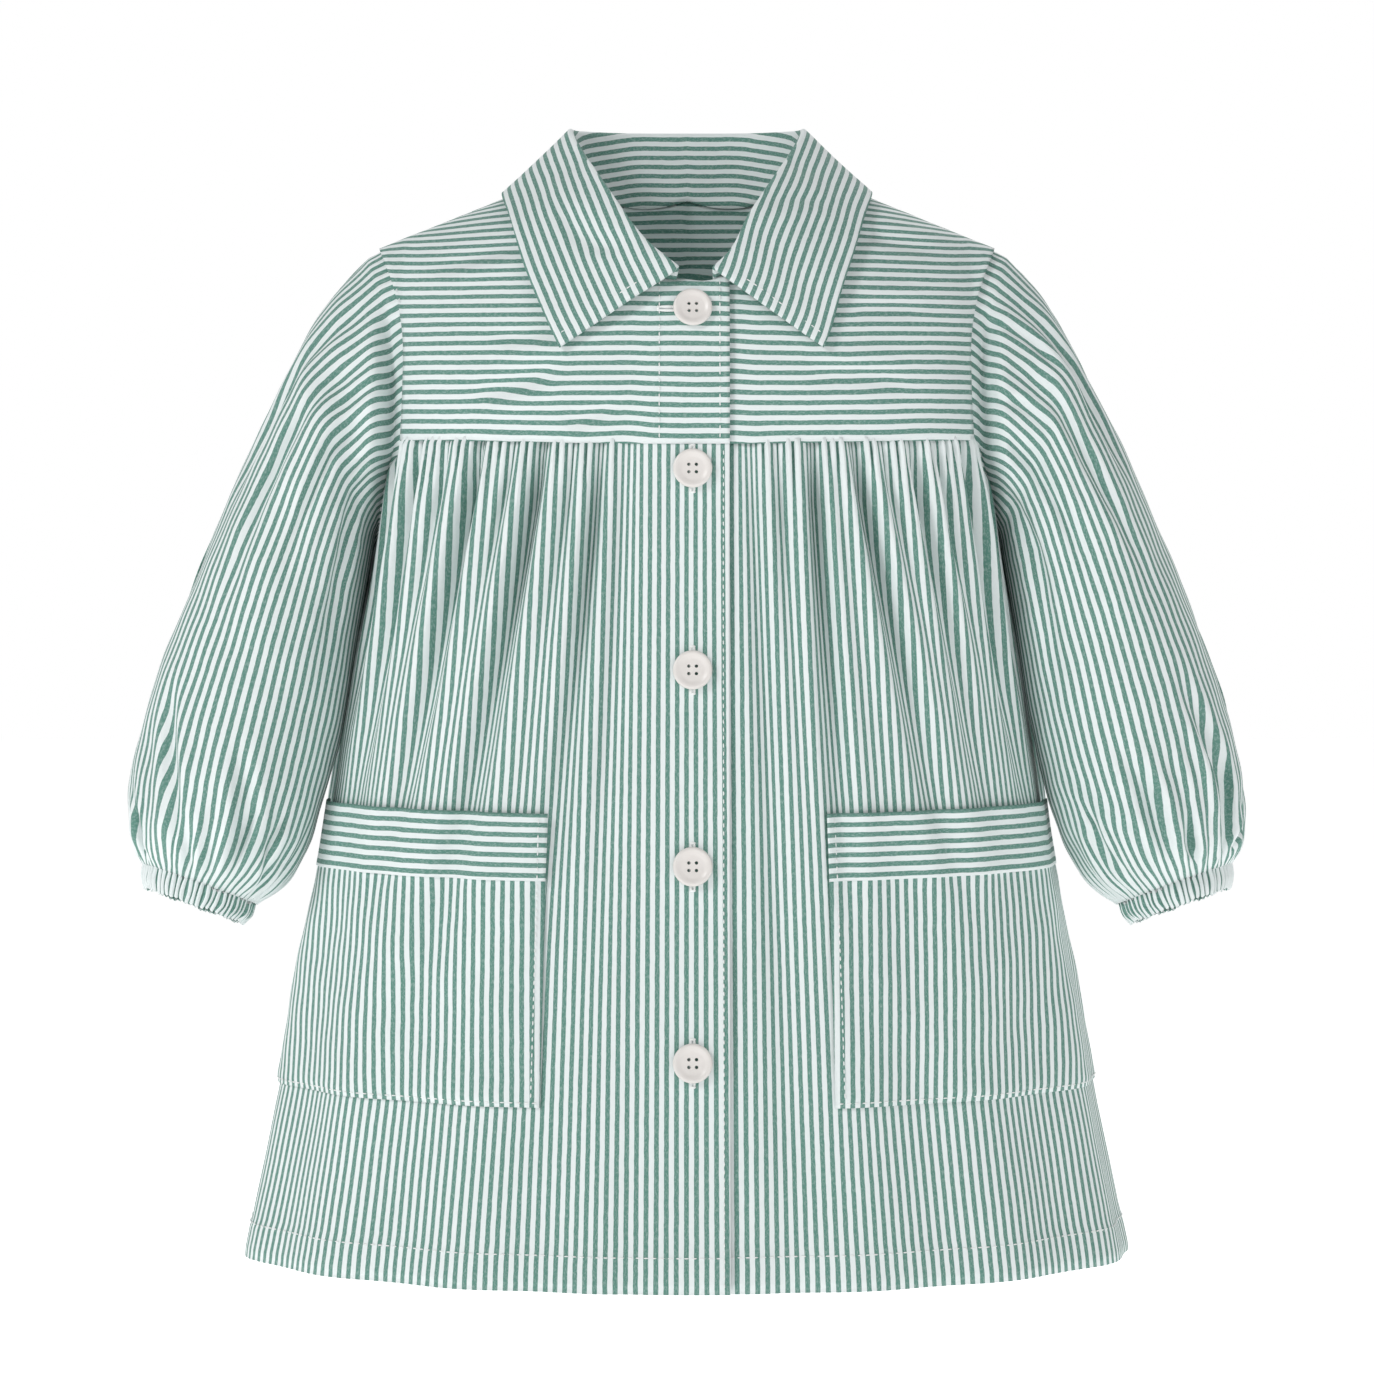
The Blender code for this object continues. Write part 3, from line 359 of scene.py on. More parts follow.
def makeCotton(name, dark, pale, creaseSize, creaseDepth, stretch):
    made = bpy.data.materials.new(name)
    made.use_nodes = True
    tree = made.node_tree
    shader = tree.nodes["Principled BSDF"]
    flat = addNode(tree, "ShaderNodeUVMap", -1100, 0, uv_map="Cloth")
    split = addNode(tree, "ShaderNodeSeparateXYZ", -900, 0)
    place = addNode(tree, "ShaderNodeTexCoord", -1100, -300)
    weave = addNode(tree, "ShaderNodeGroup", -650, 0, node_tree=wovenStripes)
    weave.inputs["Stripe Pitch"].default_value = cloth["pitch"]
    weave.inputs["Dark"].default_value = (*dark, 1.0)
    weave.inputs["Pale"].default_value = (*pale, 1.0)
    folds = addNode(tree, "ShaderNodeGroup", -650, -350, node_tree=fineCreases)
    folds.inputs["Size"].default_value = creaseSize
    folds.inputs["Stretch"].default_value = stretch
    threads = addNode(tree, "ShaderNodeBump", -200, -200)
    threads.inputs["Strength"].default_value = 0.35
    threads.inputs["Distance"].default_value = 0.00012
    soften = addNode(tree, "ShaderNodeBump", -400, -350)
    soften.inputs["Strength"].default_value = 0.5
    soften.inputs["Distance"].default_value = creaseDepth
    link = tree.links.new
    link(flat.outputs[0], split.inputs[0])
    link(split.outputs[0], weave.inputs["Across"])
    link(split.outputs[1], weave.inputs["Along"])
    link(place.outputs["Object"], weave.inputs["Place"])
    link(place.outputs["Object"], folds.inputs["Place"])
    link(folds.outputs["Height"], soften.inputs["Height"])
    link(soften.outputs[0], threads.inputs["Normal"])
    link(weave.outputs["Height"], threads.inputs["Height"])
    link(weave.outputs["Color"], shader.inputs["Base Color"])
    link(weave.outputs["Roughness"], shader.inputs["Roughness"])
    link(threads.outputs[0], shader.inputs["Normal"])
    shader.inputs["Sheen Weight"].default_value = 0.12
    shader.inputs["Sheen Roughness"].default_value = 0.5
    shader.inputs["Specular IOR Level"].default_value = 0.25
    return made


tones = dict(green=(0.116, 0.272, 0.224), white=(0.83, 0.885, 0.885), ivory=(0.80, 0.765, 0.735),
             thread=(0.90, 0.92, 0.91))
cotton = makeCotton("stripedCotton", tones["green"], tones["white"], 38, 0.0026, (1.0, 1.0, 0.45))
cottonFlat = makeCotton("stripedCottonPressed", tones["green"], tones["white"], 34, 0.0024, (1.0, 1.0, 1.0))


def makePlain(name, color, roughness, grain, depth):
    made = bpy.data.materials.new(name)
    made.use_nodes = True
    tree = made.node_tree
    shader = tree.nodes["Principled BSDF"]
    place = addNode(tree, "ShaderNodeTexCoord", -900, 0)
    rough = addNode(tree, "ShaderNodeTexNoise", -700, 0)
    rough.inputs["Scale"].default_value = grain
    rough.inputs["Detail"].default_value = 3
    tint = addNode(tree, "ShaderNodeMix", -400, 150, data_type="RGBA")
    tint.inputs["A"].default_value = (*[c * 0.93 for c in color], 1.0)
    tint.inputs["B"].default_value = (*color, 1.0)
    gloss = addNode(tree, "ShaderNodeMapRange", -400, -80)
    gloss.inputs["To Min"].default_value = roughness * 0.85
    gloss.inputs["To Max"].default_value = roughness * 1.15
    bump = addNode(tree, "ShaderNodeBump", -300, -300)
    bump.inputs["Strength"].default_value = 0.3
    bump.inputs["Distance"].default_value = depth
    link = tree.links.new
    link(place.outputs["Object"], rough.inputs["Vector"])
    for socket in (tint.inputs["Factor"], gloss.inputs["Value"], bump.inputs["Height"]):
        link(rough.outputs["Fac"], socket)
    link(tint.outputs["Result"], shader.inputs["Base Color"])
    link(gloss.outputs[0], shader.inputs["Roughness"])
    link(bump.outputs[0], shader.inputs["Normal"])
    return made


sewingThread = makePlain("sewingThread", tones["thread"], 0.7, 3000, 0.00008)
buttonIvory = makePlain("buttonIvory", tones["ivory"], 0.32, 220, 0.00005)
print("materials made")

collection = bpy.context.scene.collection


def finishPiece(name, bm, material, wall=0.0, merge=False):
    if merge:
        bmesh.ops.remove_doubles(bm, verts=bm.verts, dist=1e-6)
    mesh = bpy.data.meshes.new(name)
    bm.to_mesh(mesh)
    bm.free()
    mesh.shade_smooth()
    mesh.materials.append(material)
    piece = bpy.data.objects.new(name, mesh)
    collection.objects.link(piece)
    if wall:
        solid = piece.modifiers.new("wall", "SOLIDIFY")
        solid.thickness = wall
        solid.offset = 0.0
    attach(piece, "root")
    return piece


def clothPiece(name, columns, rowPlaces, form, material, wall=None, merge=False):
    # form gives each point and its place on the flat cloth, across and along the stripes
    bm = bmesh.new()
    rows = len(rowPlaces) - 1
    bmesh.ops.create_grid(bm, x_segments=columns, y_segments=rows, size=0.5)
    bm.verts.index_update()
    places = np.array([vertex.co for vertex in bm.verts], float) + 0.5
    v = np.interp(places[:, 1] * rows, np.arange(rows + 1), rowPlaces)
    points, flat = form(places[:, 0], v)
    for vertex, point in zip(bm.verts, points):
        vertex.co = point
    layer = bm.loops.layers.uv.new("Cloth")
    for face in bm.faces:
        for loop in face.loops:
            loop[layer].uv = flat[loop.vert.index]
    return finishPiece(name, bm, material, wall=cloth["thickness"] if wall is None else wall, merge=merge)


def rowsDense(denseTo, denseRows, restRows):
    return np.concatenate([np.linspace(0, denseTo, denseRows + 1), np.linspace(denseTo, 1, restRows + 1)[1:]])


skirt = dict(frontColumns=300, backColumns=480, gatherDepth=0.0024, gatherLength=0.020, hemSway=0.0022, hemWaves=3.5,
             hemFold=0.0180, hemThick=0.0005, evenly=0.25, sideFullness=0.0062, sideAt=0.925, sideWidth=0.080)
foldNames = "side seamAt hemAt seamWidth hemWidth depth reach share"
frontFolds = table(
    foldNames,
    (-1, 0.135, 0.180, 0.032, 0.070, 0.0045, 0.85, 0.7),
    (-1, 0.205, 0.330, 0.026, 0.070, 0.0055, 0.70, 1.0),
    (-1, 0.268, 0.420, 0.018, 0.060, 0.0025, 0.30, 0.5),
    (-1, 0.345, 0.600, 0.030, 0.085, 0.0075, 0.80, 1.5),
    (-1, 0.415, 0.660, 0.018, 0.060, 0.0025, 0.28, 0.5),
    (-1, 0.505, 0.760, 0.028, 0.080, 0.0065, 0.70, 1.3),
    (-1, 0.590, 0.810, 0.020, 0.060, 0.0030, 0.30, 0.5),
    (-1, 0.680, 0.860, 0.030, 0.075, 0.0055, 0.55, 1.0),
    (-1, 0.780, 0.930, 0.030, 0.050, 0.0045, 0.40, 0.8),
    (1, 0.150, 0.190, 0.030, 0.060, 0.0055, 0.97, 0.9),
    (1, 0.215, 0.260, 0.018, 0.060, 0.0025, 0.30, 0.4),
    (1, 0.300, 0.330, 0.028, 0.065, 0.0065, 0.80, 1.2),
    (1, 0.400, 0.690, 0.028, 0.080, 0.0070, 0.70, 1.3),
    (1, 0.470, 0.740, 0.018, 0.060, 0.0025, 0.25, 0.5),
    (1, 0.550, 0.790, 0.026, 0.075, 0.0050, 0.60, 1.0),
    (1, 0.620, 0.840, 0.018, 0.060, 0.0030, 0.30, 0.5),
    (1, 0.715, 0.880, 0.030, 0.075, 0.0060, 0.55, 1.1),
    (1, 0.800, 0.940, 0.028, 0.050, 0.0045, 0.40, 0.8),
)
backFolds = table(
    foldNames,
    (-1, 0.100, 0.140, 0.036, 0.080, 0.0060, 0.95, 1.1),
    (-1, 0.190, 0.240, 0.020, 0.060, 0.0025, 0.30, 0.5),
    (-1, 0.270, 0.350, 0.036, 0.085, 0.0065, 0.85, 1.3),
    (-1, 0.350, 0.450, 0.020, 0.060, 0.0025, 0.25, 0.5),
    (-1, 0.430, 0.560, 0.034, 0.080, 0.0060, 0.75, 1.2),
    (-1, 0.600, 0.770, 0.036, 0.080, 0.0060, 0.65, 1.2),
    (-1, 0.730, 0.880, 0.028, 0.060, 0.0035, 0.40, 0.7),
    (1, 0.070, 0.060, 0.034, 0.080, 0.0050, 0.80, 1.0),
    (1, 0.145, 0.180, 0.020, 0.060, 0.0025, 0.30, 0.5),
    (1, 0.220, 0.290, 0.036, 0.085, 0.0065, 0.95, 1.3),
    (1, 0.310, 0.410, 0.020, 0.060, 0.0025, 0.25, 0.5),
    (1, 0.390, 0.520, 0.034, 0.085, 0.0060, 0.80, 1.2),
    (1, 0.560, 0.720, 0.036, 0.080, 0.0065, 0.65, 1.2),
    (1, 0.700, 0.860, 0.028, 0.060, 0.0035, 0.40, 0.7),
)


def foldsOf(side, facing, z):
    folds = backFolds if facing > 0 else frontFolds
    down = downShare(z)
    shares = folds["share"] / folds["share"][folds["side"] == side].sum()
    for i in np.flatnonzero(folds["side"] == side):
        middle = mixed(folds["seamAt"][i], folds["hemAt"][i], down)
        width = mixed(folds["seamWidth"][i], folds["hemWidth"][i], down)
        strength = mixed(0.75, 1.95, soft(down / 0.08)) * (1 - soft(down / folds["reach"][i]))
        yield middle, width, folds["depth"][i] * strength, shares[i]


def clothAcross(side, facing, q, z):
    # cloth from the centre line, with what each fold and the gathers take up; and how tightly it is packed
    length = quarterLength(z, facing)
    spare = quarterLength(hem, facing) - length
    across, packed = q * (length + spare * skirt["evenly"]), np.ones_like(q) * (1 + spare * skirt["evenly"] / length)
    spare = spare * (1 - skirt["evenly"])
    for middle, width, _, share in foldsOf(side, facing, z):
        reach = 1.1 * width
        step = np.clip((q - middle) / reach * 0.5 + 0.5, 0, 1)
        across = across + spare * share * soft(step)
        packed = packed + spare * share * 6 * step * (1 - step) * 0.5 / reach / length
    return across, packed


def skirtRelief(side, facing, q, z):
    down = downShare(z)
    out = skirt["hemSway"] * soft(down) * np.sin(2 * np.pi * skirt["hemWaves"] * q * (1 + 0.13 * q) + side)
    for middle, width, depth, _ in foldsOf(side, facing, z):
        off = (q - middle) / width
        out = out - depth * (hump(off) - 0.22 * hump((off - 1.15) / 0.9) - 0.22 * hump((off + 1.15) / 0.9))
    if facing < 0:
        settled = soft((np.abs(q) * quarterLength(z, facing) - stand["over"]) / 0.03)
    else:
        settled = soft(q / 0.05)
    out = out * settled * soft((1.0 - np.abs(q)) / 0.12 + 0.12)
    if facing > 0:  # behind the sleeves the back is a little fuller
        full = soft((skirtTop(q, facing) - 0.002 - z) / 0.014) * soft((z + 0.338) / 0.045)
        out = out + skirt["sideFullness"] * full * hump((np.abs(q) - skirt["sideAt"]) / skirt["sideWidth"])
    return out + 0.0006 * uneven(q * 0.28, z, 0.11, side + 2 * facing)


def skirtGathers(side, facing, q, z, top, across, packed):
    armhole = shareAtWidth(armholeEdge["half"][0], facing)
    held = soft((armhole + 0.04 - np.abs(q)) / 0.08)
    if facing < 0:
        held = held * soft((np.abs(q) - 0.030 / quarterLength(seam, facing)) / 0.04)
    number = across / cloth["pitch"]
    reach = skirt["gatherLength"] * (1 + 0.35 * np.sin(2.4 * number) + 0.25 * np.sin(0.83 * number + 1))
    fade = np.exp(-(((top - z) / reach) ** 2))
    held = held * mixed(0.4, 1.0, soft((top - z) / 0.005))
    return -skirt["gatherDepth"] * held * fade * np.cos(2 * np.pi * number) / packed**1.6


def skirtPoints(side, facing, q, v, extra=0.0):
    top = skirtTop(q, facing) + 0.0010
    z = mixed(top, hem, v)
    across, packed = clothAcross(side, facing, q, z)
    out = skirtRelief(side, facing, q, z) + skirtGathers(side, facing, q, z, top, across, packed)
    out = out - cloth["tuck"] * (1 - soft((top - z) / 0.0035)) - 0.0004
    fold = soft((z - hem) / 0.0012) * soft((hem + skirt["hemFold"] - z) / 0.0012)
    out = out + skirt["hemThick"] * fold
    if facing < 0:
        out = out - side * stand["rise"] * lapAt(side * q * quarterLength(z, facing))
    return skirtForm(side, facing, q, z, out + extra), np.stack([side * across, z], axis=-1)


def makeSkirtFront(side):
    reach = -(stand["over"] if side < 0 else stand["under"])

    def form(u, v):
        length = quarterLength(mixed(seam, hem, v), -1)
        return skirtPoints(side, -1, mixed(reach / length, 1 - 0.0002 / length, u), v)

    name = "skirtFrontRight" if side < 0 else "skirtFrontLeft"
    piece = clothPiece(name, skirt["frontColumns"], rowsDense(0.10, 26, 70), form, cotton)
    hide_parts("skirt_front_right" if side < 0 else "skirt_front_left")


def makeSkirtBack():
    def form(u, v):
        length = quarterLength(mixed(seam, hem, v), 1)
        half, q = np.where(u < 0.5, -1, 1), np.abs(2 * u - 1) * (1 - 0.0002 / length)
        points, flat = np.zeros((len(u), 3)), np.zeros((len(u), 2))
        for side in (-1, 1):
            chosen = half == side
            points[chosen], flat[chosen] = skirtPoints(side, 1, q[chosen], v[chosen])
        return points, flat

    piece = clothPiece("skirtBack", skirt["backColumns"], rowsDense(0.10, 20, 58), form, cotton)
    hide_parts("skirt_back")


makeSkirtBack()
for side in (-1, 1):
    makeSkirtFront(side)
print("skirt made")

yoke = dict(frontSeamShare=0.50, backSeamShare=0.45, frontColumns=96, backColumns=150, rows=60, stripeShift=0.0012,
            levelling=0.5, stripeSway=0.7)
yokeCreases = {  # across and up from the yoke seam
    -1: [(-0.100, 0.018, -0.064, 0.042, 0.0050, 0.0023), (-0.094, 0.048, -0.060, 0.060, 0.0045, 0.0017),
         (-0.118, 0.085, -0.085, 0.110, 0.0060, 0.0023), (-0.060, 0.012, -0.034, 0.016, 0.0040, 0.0014)],
    1: [(0.120, 0.096, 0.088, 0.120, 0.0060, 0.0028), (0.104, 0.022, 0.060, 0.036, 0.0050, 0.0019),
        (0.112, 0.060, 0.082, 0.070, 0.0050, 0.0017)],
    0: [(-0.090, 0.030, -0.030, 0.052, 0.0060, 0.0023), (0.095, 0.040, 0.040, 0.060, 0.0060, 0.0023),
        (-0.020, 0.090, 0.030, 0.094, 0.0050, 0.0017)],
}


def yokeAcross(share, inner, turn, facing, seamShare):
    start = np.arcsin(inner / neck["halfWidth"])
    atNeck = neck["halfWidth"] * np.sin(mixed(start, np.pi / 2, np.clip(share / seamShare, 0, 1)))
    past = np.clip((share - seamShare) / (1 - seamShare), 0, 1)
    return atNeck + (armholeHalf(turn, facing) - neck["halfWidth"]) * past


def yokeRise(x, turn, facing):  # length of cloth up from the yoke seam
    steps = np.linspace(0, 1, 30)
    path = yokeForm(np.repeat(x[:, None], 30, 1), turn[:, None] * steps, facing, 0.0)
    return np.linalg.norm(np.diff(path, axis=1), axis=2).sum(axis=1)


def yokePoints(side, facing, share, v):
    inner = 0.0 if facing > 0 else -(stand["over"] if side < 0 else stand["under"])
    seamShare = yoke["backSeamShare"] if facing > 0 else yoke["frontSeamShare"]
    x = yokeAcross(share, inner, np.pi / 4, facing, seamShare)
    turn = v * np.where(x < neck["halfWidth"] - 1e-5, neckTurn(x, facing), np.pi / 2)
    x = yokeAcross(share, inner, turn, facing, seamShare)
    rise = yokeRise(x, turn, facing)
    lines = yokeCreases[side if facing < 0 else 0]
    out = creased(side * x, rise, lines) + 0.0005 * uneven(x, rise, 0.07, side + facing)
    if facing < 0:
        out = out - side * stand["rise"] * lapAt(side * x)
    points = yokeForm(x, turn, facing, out + 0.0002)
    points[:, 2] -= 0.0012 * (1 - soft(v / 0.02))
    points[:, 0] *= side
    level = mixed(rise, points[:, 2] - seam + dipAt(shareAtWidth(x, facing), facing) * (1 - v), yoke["levelling"])
    return points, np.stack([level + yoke["stripeShift"] + yoke["stripeSway"] * out, side * x], axis=-1)


def makeYokeFront(side):
    name = "yokeFrontRight" if side < 0 else "yokeFrontLeft"
    rows = np.linspace(0, 1, yoke["rows"] + 1)
    piece = clothPiece(name, yoke["frontColumns"], rows, lambda u, v: yokePoints(side, -1, u, v), cottonFlat)
    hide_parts("yoke_front_right" if side < 0 else "yoke_front_left")


def makeYokeBack():
    def form(u, v):
        points, flat = np.zeros((len(u), 3)), np.zeros((len(u), 2))
        for side in (-1, 1):
            chosen = (u < 0.5) if side < 0 else (u >= 0.5)
            points[chosen], flat[chosen] = yokePoints(side, 1, np.abs(2 * u[chosen] - 1), v[chosen])
        return points, flat

    piece = clothPiece("yokeBack", yoke["backColumns"], np.linspace(0, 1, yoke["rows"] + 1), form, cottonFlat)
    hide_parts("yoke_back")


makeYokeBack()
for side in (-1, 1):
    makeYokeFront(side)
print("yoke made")

sleeveRings = table(
    "run outerX outerZ innerX innerZ depth middle tilt",
    (0.00, 0.1535, -0.0215, 0.1535, -0.1600, 0.0470, 0.000, 0.00),
    (0.10, 0.1778, -0.0475, 0.1550, -0.1612, 0.0500, -0.0015, 0.00),
    (0.23, 0.1993, -0.0875, 0.1562, -0.1665, 0.0520, -0.0045, 0.00),
    (0.37, 0.2228, -0.1375, 0.1580, -0.1790, 0.0520, -0.0090, 0.01),
    (0.53, 0.2473, -0.1975, 0.1635, -0.2140, 0.0500, -0.0155, 0.03),
    (0.67, 0.2650, -0.2475, 0.1710, -0.2620, 0.0500, -0.0215, 0.05),
    (0.79, 0.2728, -0.2860, 0.1802, -0.2990, 0.0480, -0.0260, 0.08),
    (0.88, 0.2735, -0.3090, 0.1885, -0.3220, 0.0430, -0.0280, 0.10),
    (0.95, 0.2715, -0.3205, 0.2000, -0.3385, 0.0330, -0.0285, 0.11),
    (1.00, 0.2682, -0.3280, 0.2124, -0.3478, 0.0192, -0.028, 0.12),
)
cuffRings = table(
    "run outerX outerZ innerX innerZ depth middle tilt",
    (0.0, 0.2670, -0.3276, 0.2136, -0.3475, 0.0187, -0.0282, 0.12),
    (0.5, 0.2678, -0.3345, 0.2158, -0.3533, 0.0190, -0.0289, 0.12),
    (1.0, 0.2668, -0.3400, 0.2198, -0.3570, 0.0180, -0.0296, 0.12),
)
sleeve = dict(stripes=60, columns=300, girth=0.287, length=0.345, lead=0.0018, wristDepth=0.0006,
              puckers=17, puckerDepth=0.0012, stripeSway=0.18)
sleeveLines = {  # creases on the front, across and up as seen from there; the back has the other sleeve's
    -1: [(-0.1460, -0.055, -0.1475, -0.168, 0.0055, 0.0080), (-0.1720, -0.078, -0.1660, -0.150, 0.0080, 0.0024),
         (-0.1860, -0.150, -0.2000, -0.220, 0.0100, 0.0020), (-0.1700, -0.190, -0.1800, -0.245, 0.0080, 0.0018),
         (-0.2640, -0.255, -0.2570, -0.330, 0.0045, 0.0042), (-0.2391, -0.282, -0.2420, -0.336, 0.0038, 0.0030),
         (-0.2270, -0.300, -0.2330, -0.336, 0.0034, 0.0028), (-0.2020, -0.297, -0.2270, -0.332, 0.0036, 0.0034),
         (-0.1930, -0.303, -0.2220, -0.338, 0.0032, 0.0030), (-0.1850, -0.312, -0.2160, -0.341, 0.0030, 0.0026),
         (-0.2520, -0.262, -0.2500, -0.305, 0.0050, 0.0022)],
    1: [(0.1475, -0.168, 0.1470, -0.050, 0.0055, 0.0080), (0.1780, -0.150, 0.1700, -0.066, 0.0075, 0.0026),
        (0.2010, -0.225, 0.1750, -0.160, 0.0100, 0.0022), (0.1850, -0.262, 0.1720, -0.205, 0.0080, 0.0018),
        (0.2553, -0.328, 0.2640, -0.268, 0.0045, 0.0042), (0.2433, -0.332, 0.2335, -0.272, 0.0040, 0.0030),
        (0.2520, -0.320, 0.2410, -0.262, 0.0036, 0.0020), (0.2259, -0.336, 0.2060, -0.304, 0.0036, 0.0032),
        (0.2216, -0.328, 0.1759, -0.286, 0.0042, 0.0034), (0.2129, -0.336, 0.1868, -0.311, 0.0034, 0.0030),
        (0.2330, -0.330, 0.2200, -0.285, 0.0040, 0.0020)],
}
sleeveFolds = table(  # place round: 0 outer edge, 0.25 front, 0.5 under the arm, 0.75 back
    "side startAt endAt start end width depth",
    (-1, 0.10, 0.08, 0.00, 0.45, 0.026, 0.0030),
    (-1, 0.18, 0.17, 0.02, 0.60, 0.026, 0.0042),
    (-1, 0.28, 0.26, 0.00, 0.50, 0.026, 0.0046),
    (-1, 0.36, 0.38, 0.02, 0.65, 0.030, 0.0052),
    (-1, 0.12, 0.20, 0.62, 0.95, 0.026, 0.0050),
    (-1, 0.27, 0.33, 0.70, 0.97, 0.026, 0.0058),
    (-1, 0.97, 0.99, 0.70, 0.95, 0.026, 0.0040),
    (-1, 0.62, 0.64, 0.02, 0.60, 0.030, 0.0048),
    (-1, 0.78, 0.76, 0.00, 0.55, 0.030, 0.0046),
    (-1, 0.72, 0.66, 0.68, 0.97, 0.030, 0.0050),
    (-1, 0.23, 0.215, 0.00, 0.22, 0.014, 0.0020),
    (-1, 0.32, 0.315, 0.00, 0.25, 0.014, 0.0022),
    (-1, 0.05, 0.11, 0.80, 0.99, 0.018, 0.0032),
    (-1, 0.20, 0.24, 0.84, 0.99, 0.016, 0.0034),
    (-1, 0.36, 0.40, 0.80, 0.99, 0.020, 0.0036),
    (-1, 0.86, 0.83, 0.78, 0.99, 0.022, 0.0038),
    (1, 0.09, 0.10, 0.00, 0.40, 0.026, 0.0036),
    (1, 0.20, 0.16, 0.02, 0.55, 0.026, 0.0042),
    (1, 0.30, 0.27, 0.00, 0.55, 0.026, 0.0048),
    (1, 0.38, 0.37, 0.02, 0.65, 0.030, 0.0052),
    (1, 0.16, 0.10, 0.60, 0.95, 0.026, 0.0050),
    (1, 0.30, 0.24, 0.68, 0.97, 0.026, 0.0058),
    (1, 0.95, 0.98, 0.66, 0.95, 0.026, 0.0044),
    (1, 0.64, 0.62, 0.02, 0.60, 0.030, 0.0048),
    (1, 0.80, 0.78, 0.00, 0.55, 0.030, 0.0046),
    (1, 0.74, 0.70, 0.66, 0.97, 0.030, 0.0050),
    (1, 0.25, 0.23, 0.00, 0.24, 0.014, 0.0022),
    (1, 0.14, 0.13, 0.00, 0.20, 0.014, 0.0018),
    (1, 0.04, 0.09, 0.82, 0.99, 0.018, 0.0034),
    (1, 0.22, 0.19, 0.84, 0.99, 0.016, 0.0034),
    (1, 0.38, 0.36, 0.78, 0.99, 0.020, 0.0038),
    (1, 0.88, 0.85, 0.80, 0.99, 0.022, 0.0038),
)


def armholeLoop(roundAt, out):
    halves = []
    for facing in (-1, 1):
        turn = np.linspace(np.pi / 2, 0, 160)
        upper = yokeForm(armholeHalf(turn, facing), turn, facing, out)
        q = np.linspace(shareAtWidth(armholeEdge["half"][0], facing), 1, 160)[1:]
        lower = skirtForm(1, facing, q, skirtTop(q, facing), out)
        path = np.concatenate([upper, lower])
        run = np.concatenate([[0], np.cumsum(np.linalg.norm(np.diff(path, axis=0), axis=1))])
        halves.append((path, run / run[-1]))
    points = []
    for (path, run), share in zip(halves, (2 * roundAt, 2 - 2 * roundAt)):
        points.append(np.stack([np.interp(share, run, path[:, k]) for k in range(3)], axis=-1))
    return np.where((roundAt <= 0.5)[:, None], points[0], points[1])


def ringOf(rings, roundAt, run, out):
    angle = 2 * np.pi * roundAt
    get = {name: curveAt(rings, name, run, "run") for name in rings if name != "run"}
    halfX, halfZ = (get["outerX"] - get["innerX"]) / 2, (get["outerZ"] - get["innerZ"]) / 2
    width = np.hypot(halfX, halfZ)
    across, front = (width + out) * np.cos(angle), (get["depth"] + out) * np.sin(angle)
    x = get["innerX"] + halfX + across * halfX / width
    z = get["innerZ"] + halfZ + across * halfZ / width + get["tilt"] * front
    return np.stack([x, get["middle"] - front, z], axis=-1)


def sleeveRelief(side, roundAt, run):
    out = 0
    for i in np.flatnonzero(sleeveFolds["side"] == side):
        fold = {name: sleeveFolds[name][i] for name in sleeveFolds}
        along = (run - fold["start"]) / (fold["end"] - fold["start"])
        middle = mixed(fold["startAt"], fold["endAt"], np.clip(along, 0, 1)) + 0.006 * np.sin(7 * along + i)
        off = ((roundAt - middle + 0.5) % 1 - 0.5) / fold["width"]
        shape = hump(off) - 0.25 * hump((off - 1.2) / 0.9) - 0.25 * hump((off + 1.2) / 0.9)
        out = out - fold["depth"] * shape * hump(2 * along - 1) ** 0.7
    out = out + 0.0008 * uneven(roundAt * sleeve["girth"], run * sleeve["length"], 0.06, side)
    beside = hump((roundAt - 0.5) / 0.13) * (1 - soft((run - 0.55) / 0.2))  # the sleeve lies along the skirt here
    return out * soft((1.0 - run) / 0.06) * (1 - beside)


def bendSleeve(side, points, u, v):  # the listed creases, and how far they carry the stripes
    lean = np.sin(2 * np.pi * u)
    x, z = side * points[:, 0], points[:, 2]
    held = soft(v / 0.02) * soft((0.995 - v) / 0.04)
    front = creased(x, z, sleeveLines[side]) * soft(lean / 0.45) * held
    back = creased(-x, z, sleeveLines[-side]) * soft(-lean / 0.45) * held
    points[:, 1] += back - front
    return front + back


def makeSleeve(side):
    def form(u, v):
        number = u * sleeve["stripes"]
        wrist = -sleeve["wristDepth"] * np.cos(2 * np.pi * number) * soft((v - 0.88) / 0.1)
        crown = -0.0004 * np.cos(2 * np.pi * number) * (1 - soft(v / 0.05))
        pucker = np.sin(2 * np.pi * sleeve["puckers"] * u + 1.7 * np.sin(2 * np.pi * 5 * u + side))
        pucker = pucker * sleeve["puckerDepth"] * soft((v - 0.80) / 0.14) * soft((1.0 - v) / 0.03)
        relief = sleeveRelief(side, u, v) + pucker
        free = ringOf(sleeveRings, u, v, relief + wrist + crown)
        start = armholeLoop(u, -0.0009)
        toArmhole = start - ringOf(sleeveRings, u, np.zeros_like(v), 0.0)
        points = free + toArmhole * (1 - soft(v / 0.22))[:, None]
        lead = mixed(-0.0016, sleeve["lead"], soft(v / 0.018)) * (1 - soft(v / 0.15))
        carried = sleeve["stripeSway"] * (bendSleeve(side, points, u, v) + relief)
        points[:, 0] = side * (points[:, 0] + lead)
        return points, np.stack([number * cloth["pitch"] + carried, v * sleeve["length"]], axis=-1)

    name = "sleeveRight" if side < 0 else "sleeveLeft"
    piece = clothPiece(name, sleeve["columns"], rowsDense(0.06, 14, 102), form, cotton, merge=True)
    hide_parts("sleeve_right" if side < 0 else "sleeve_left")


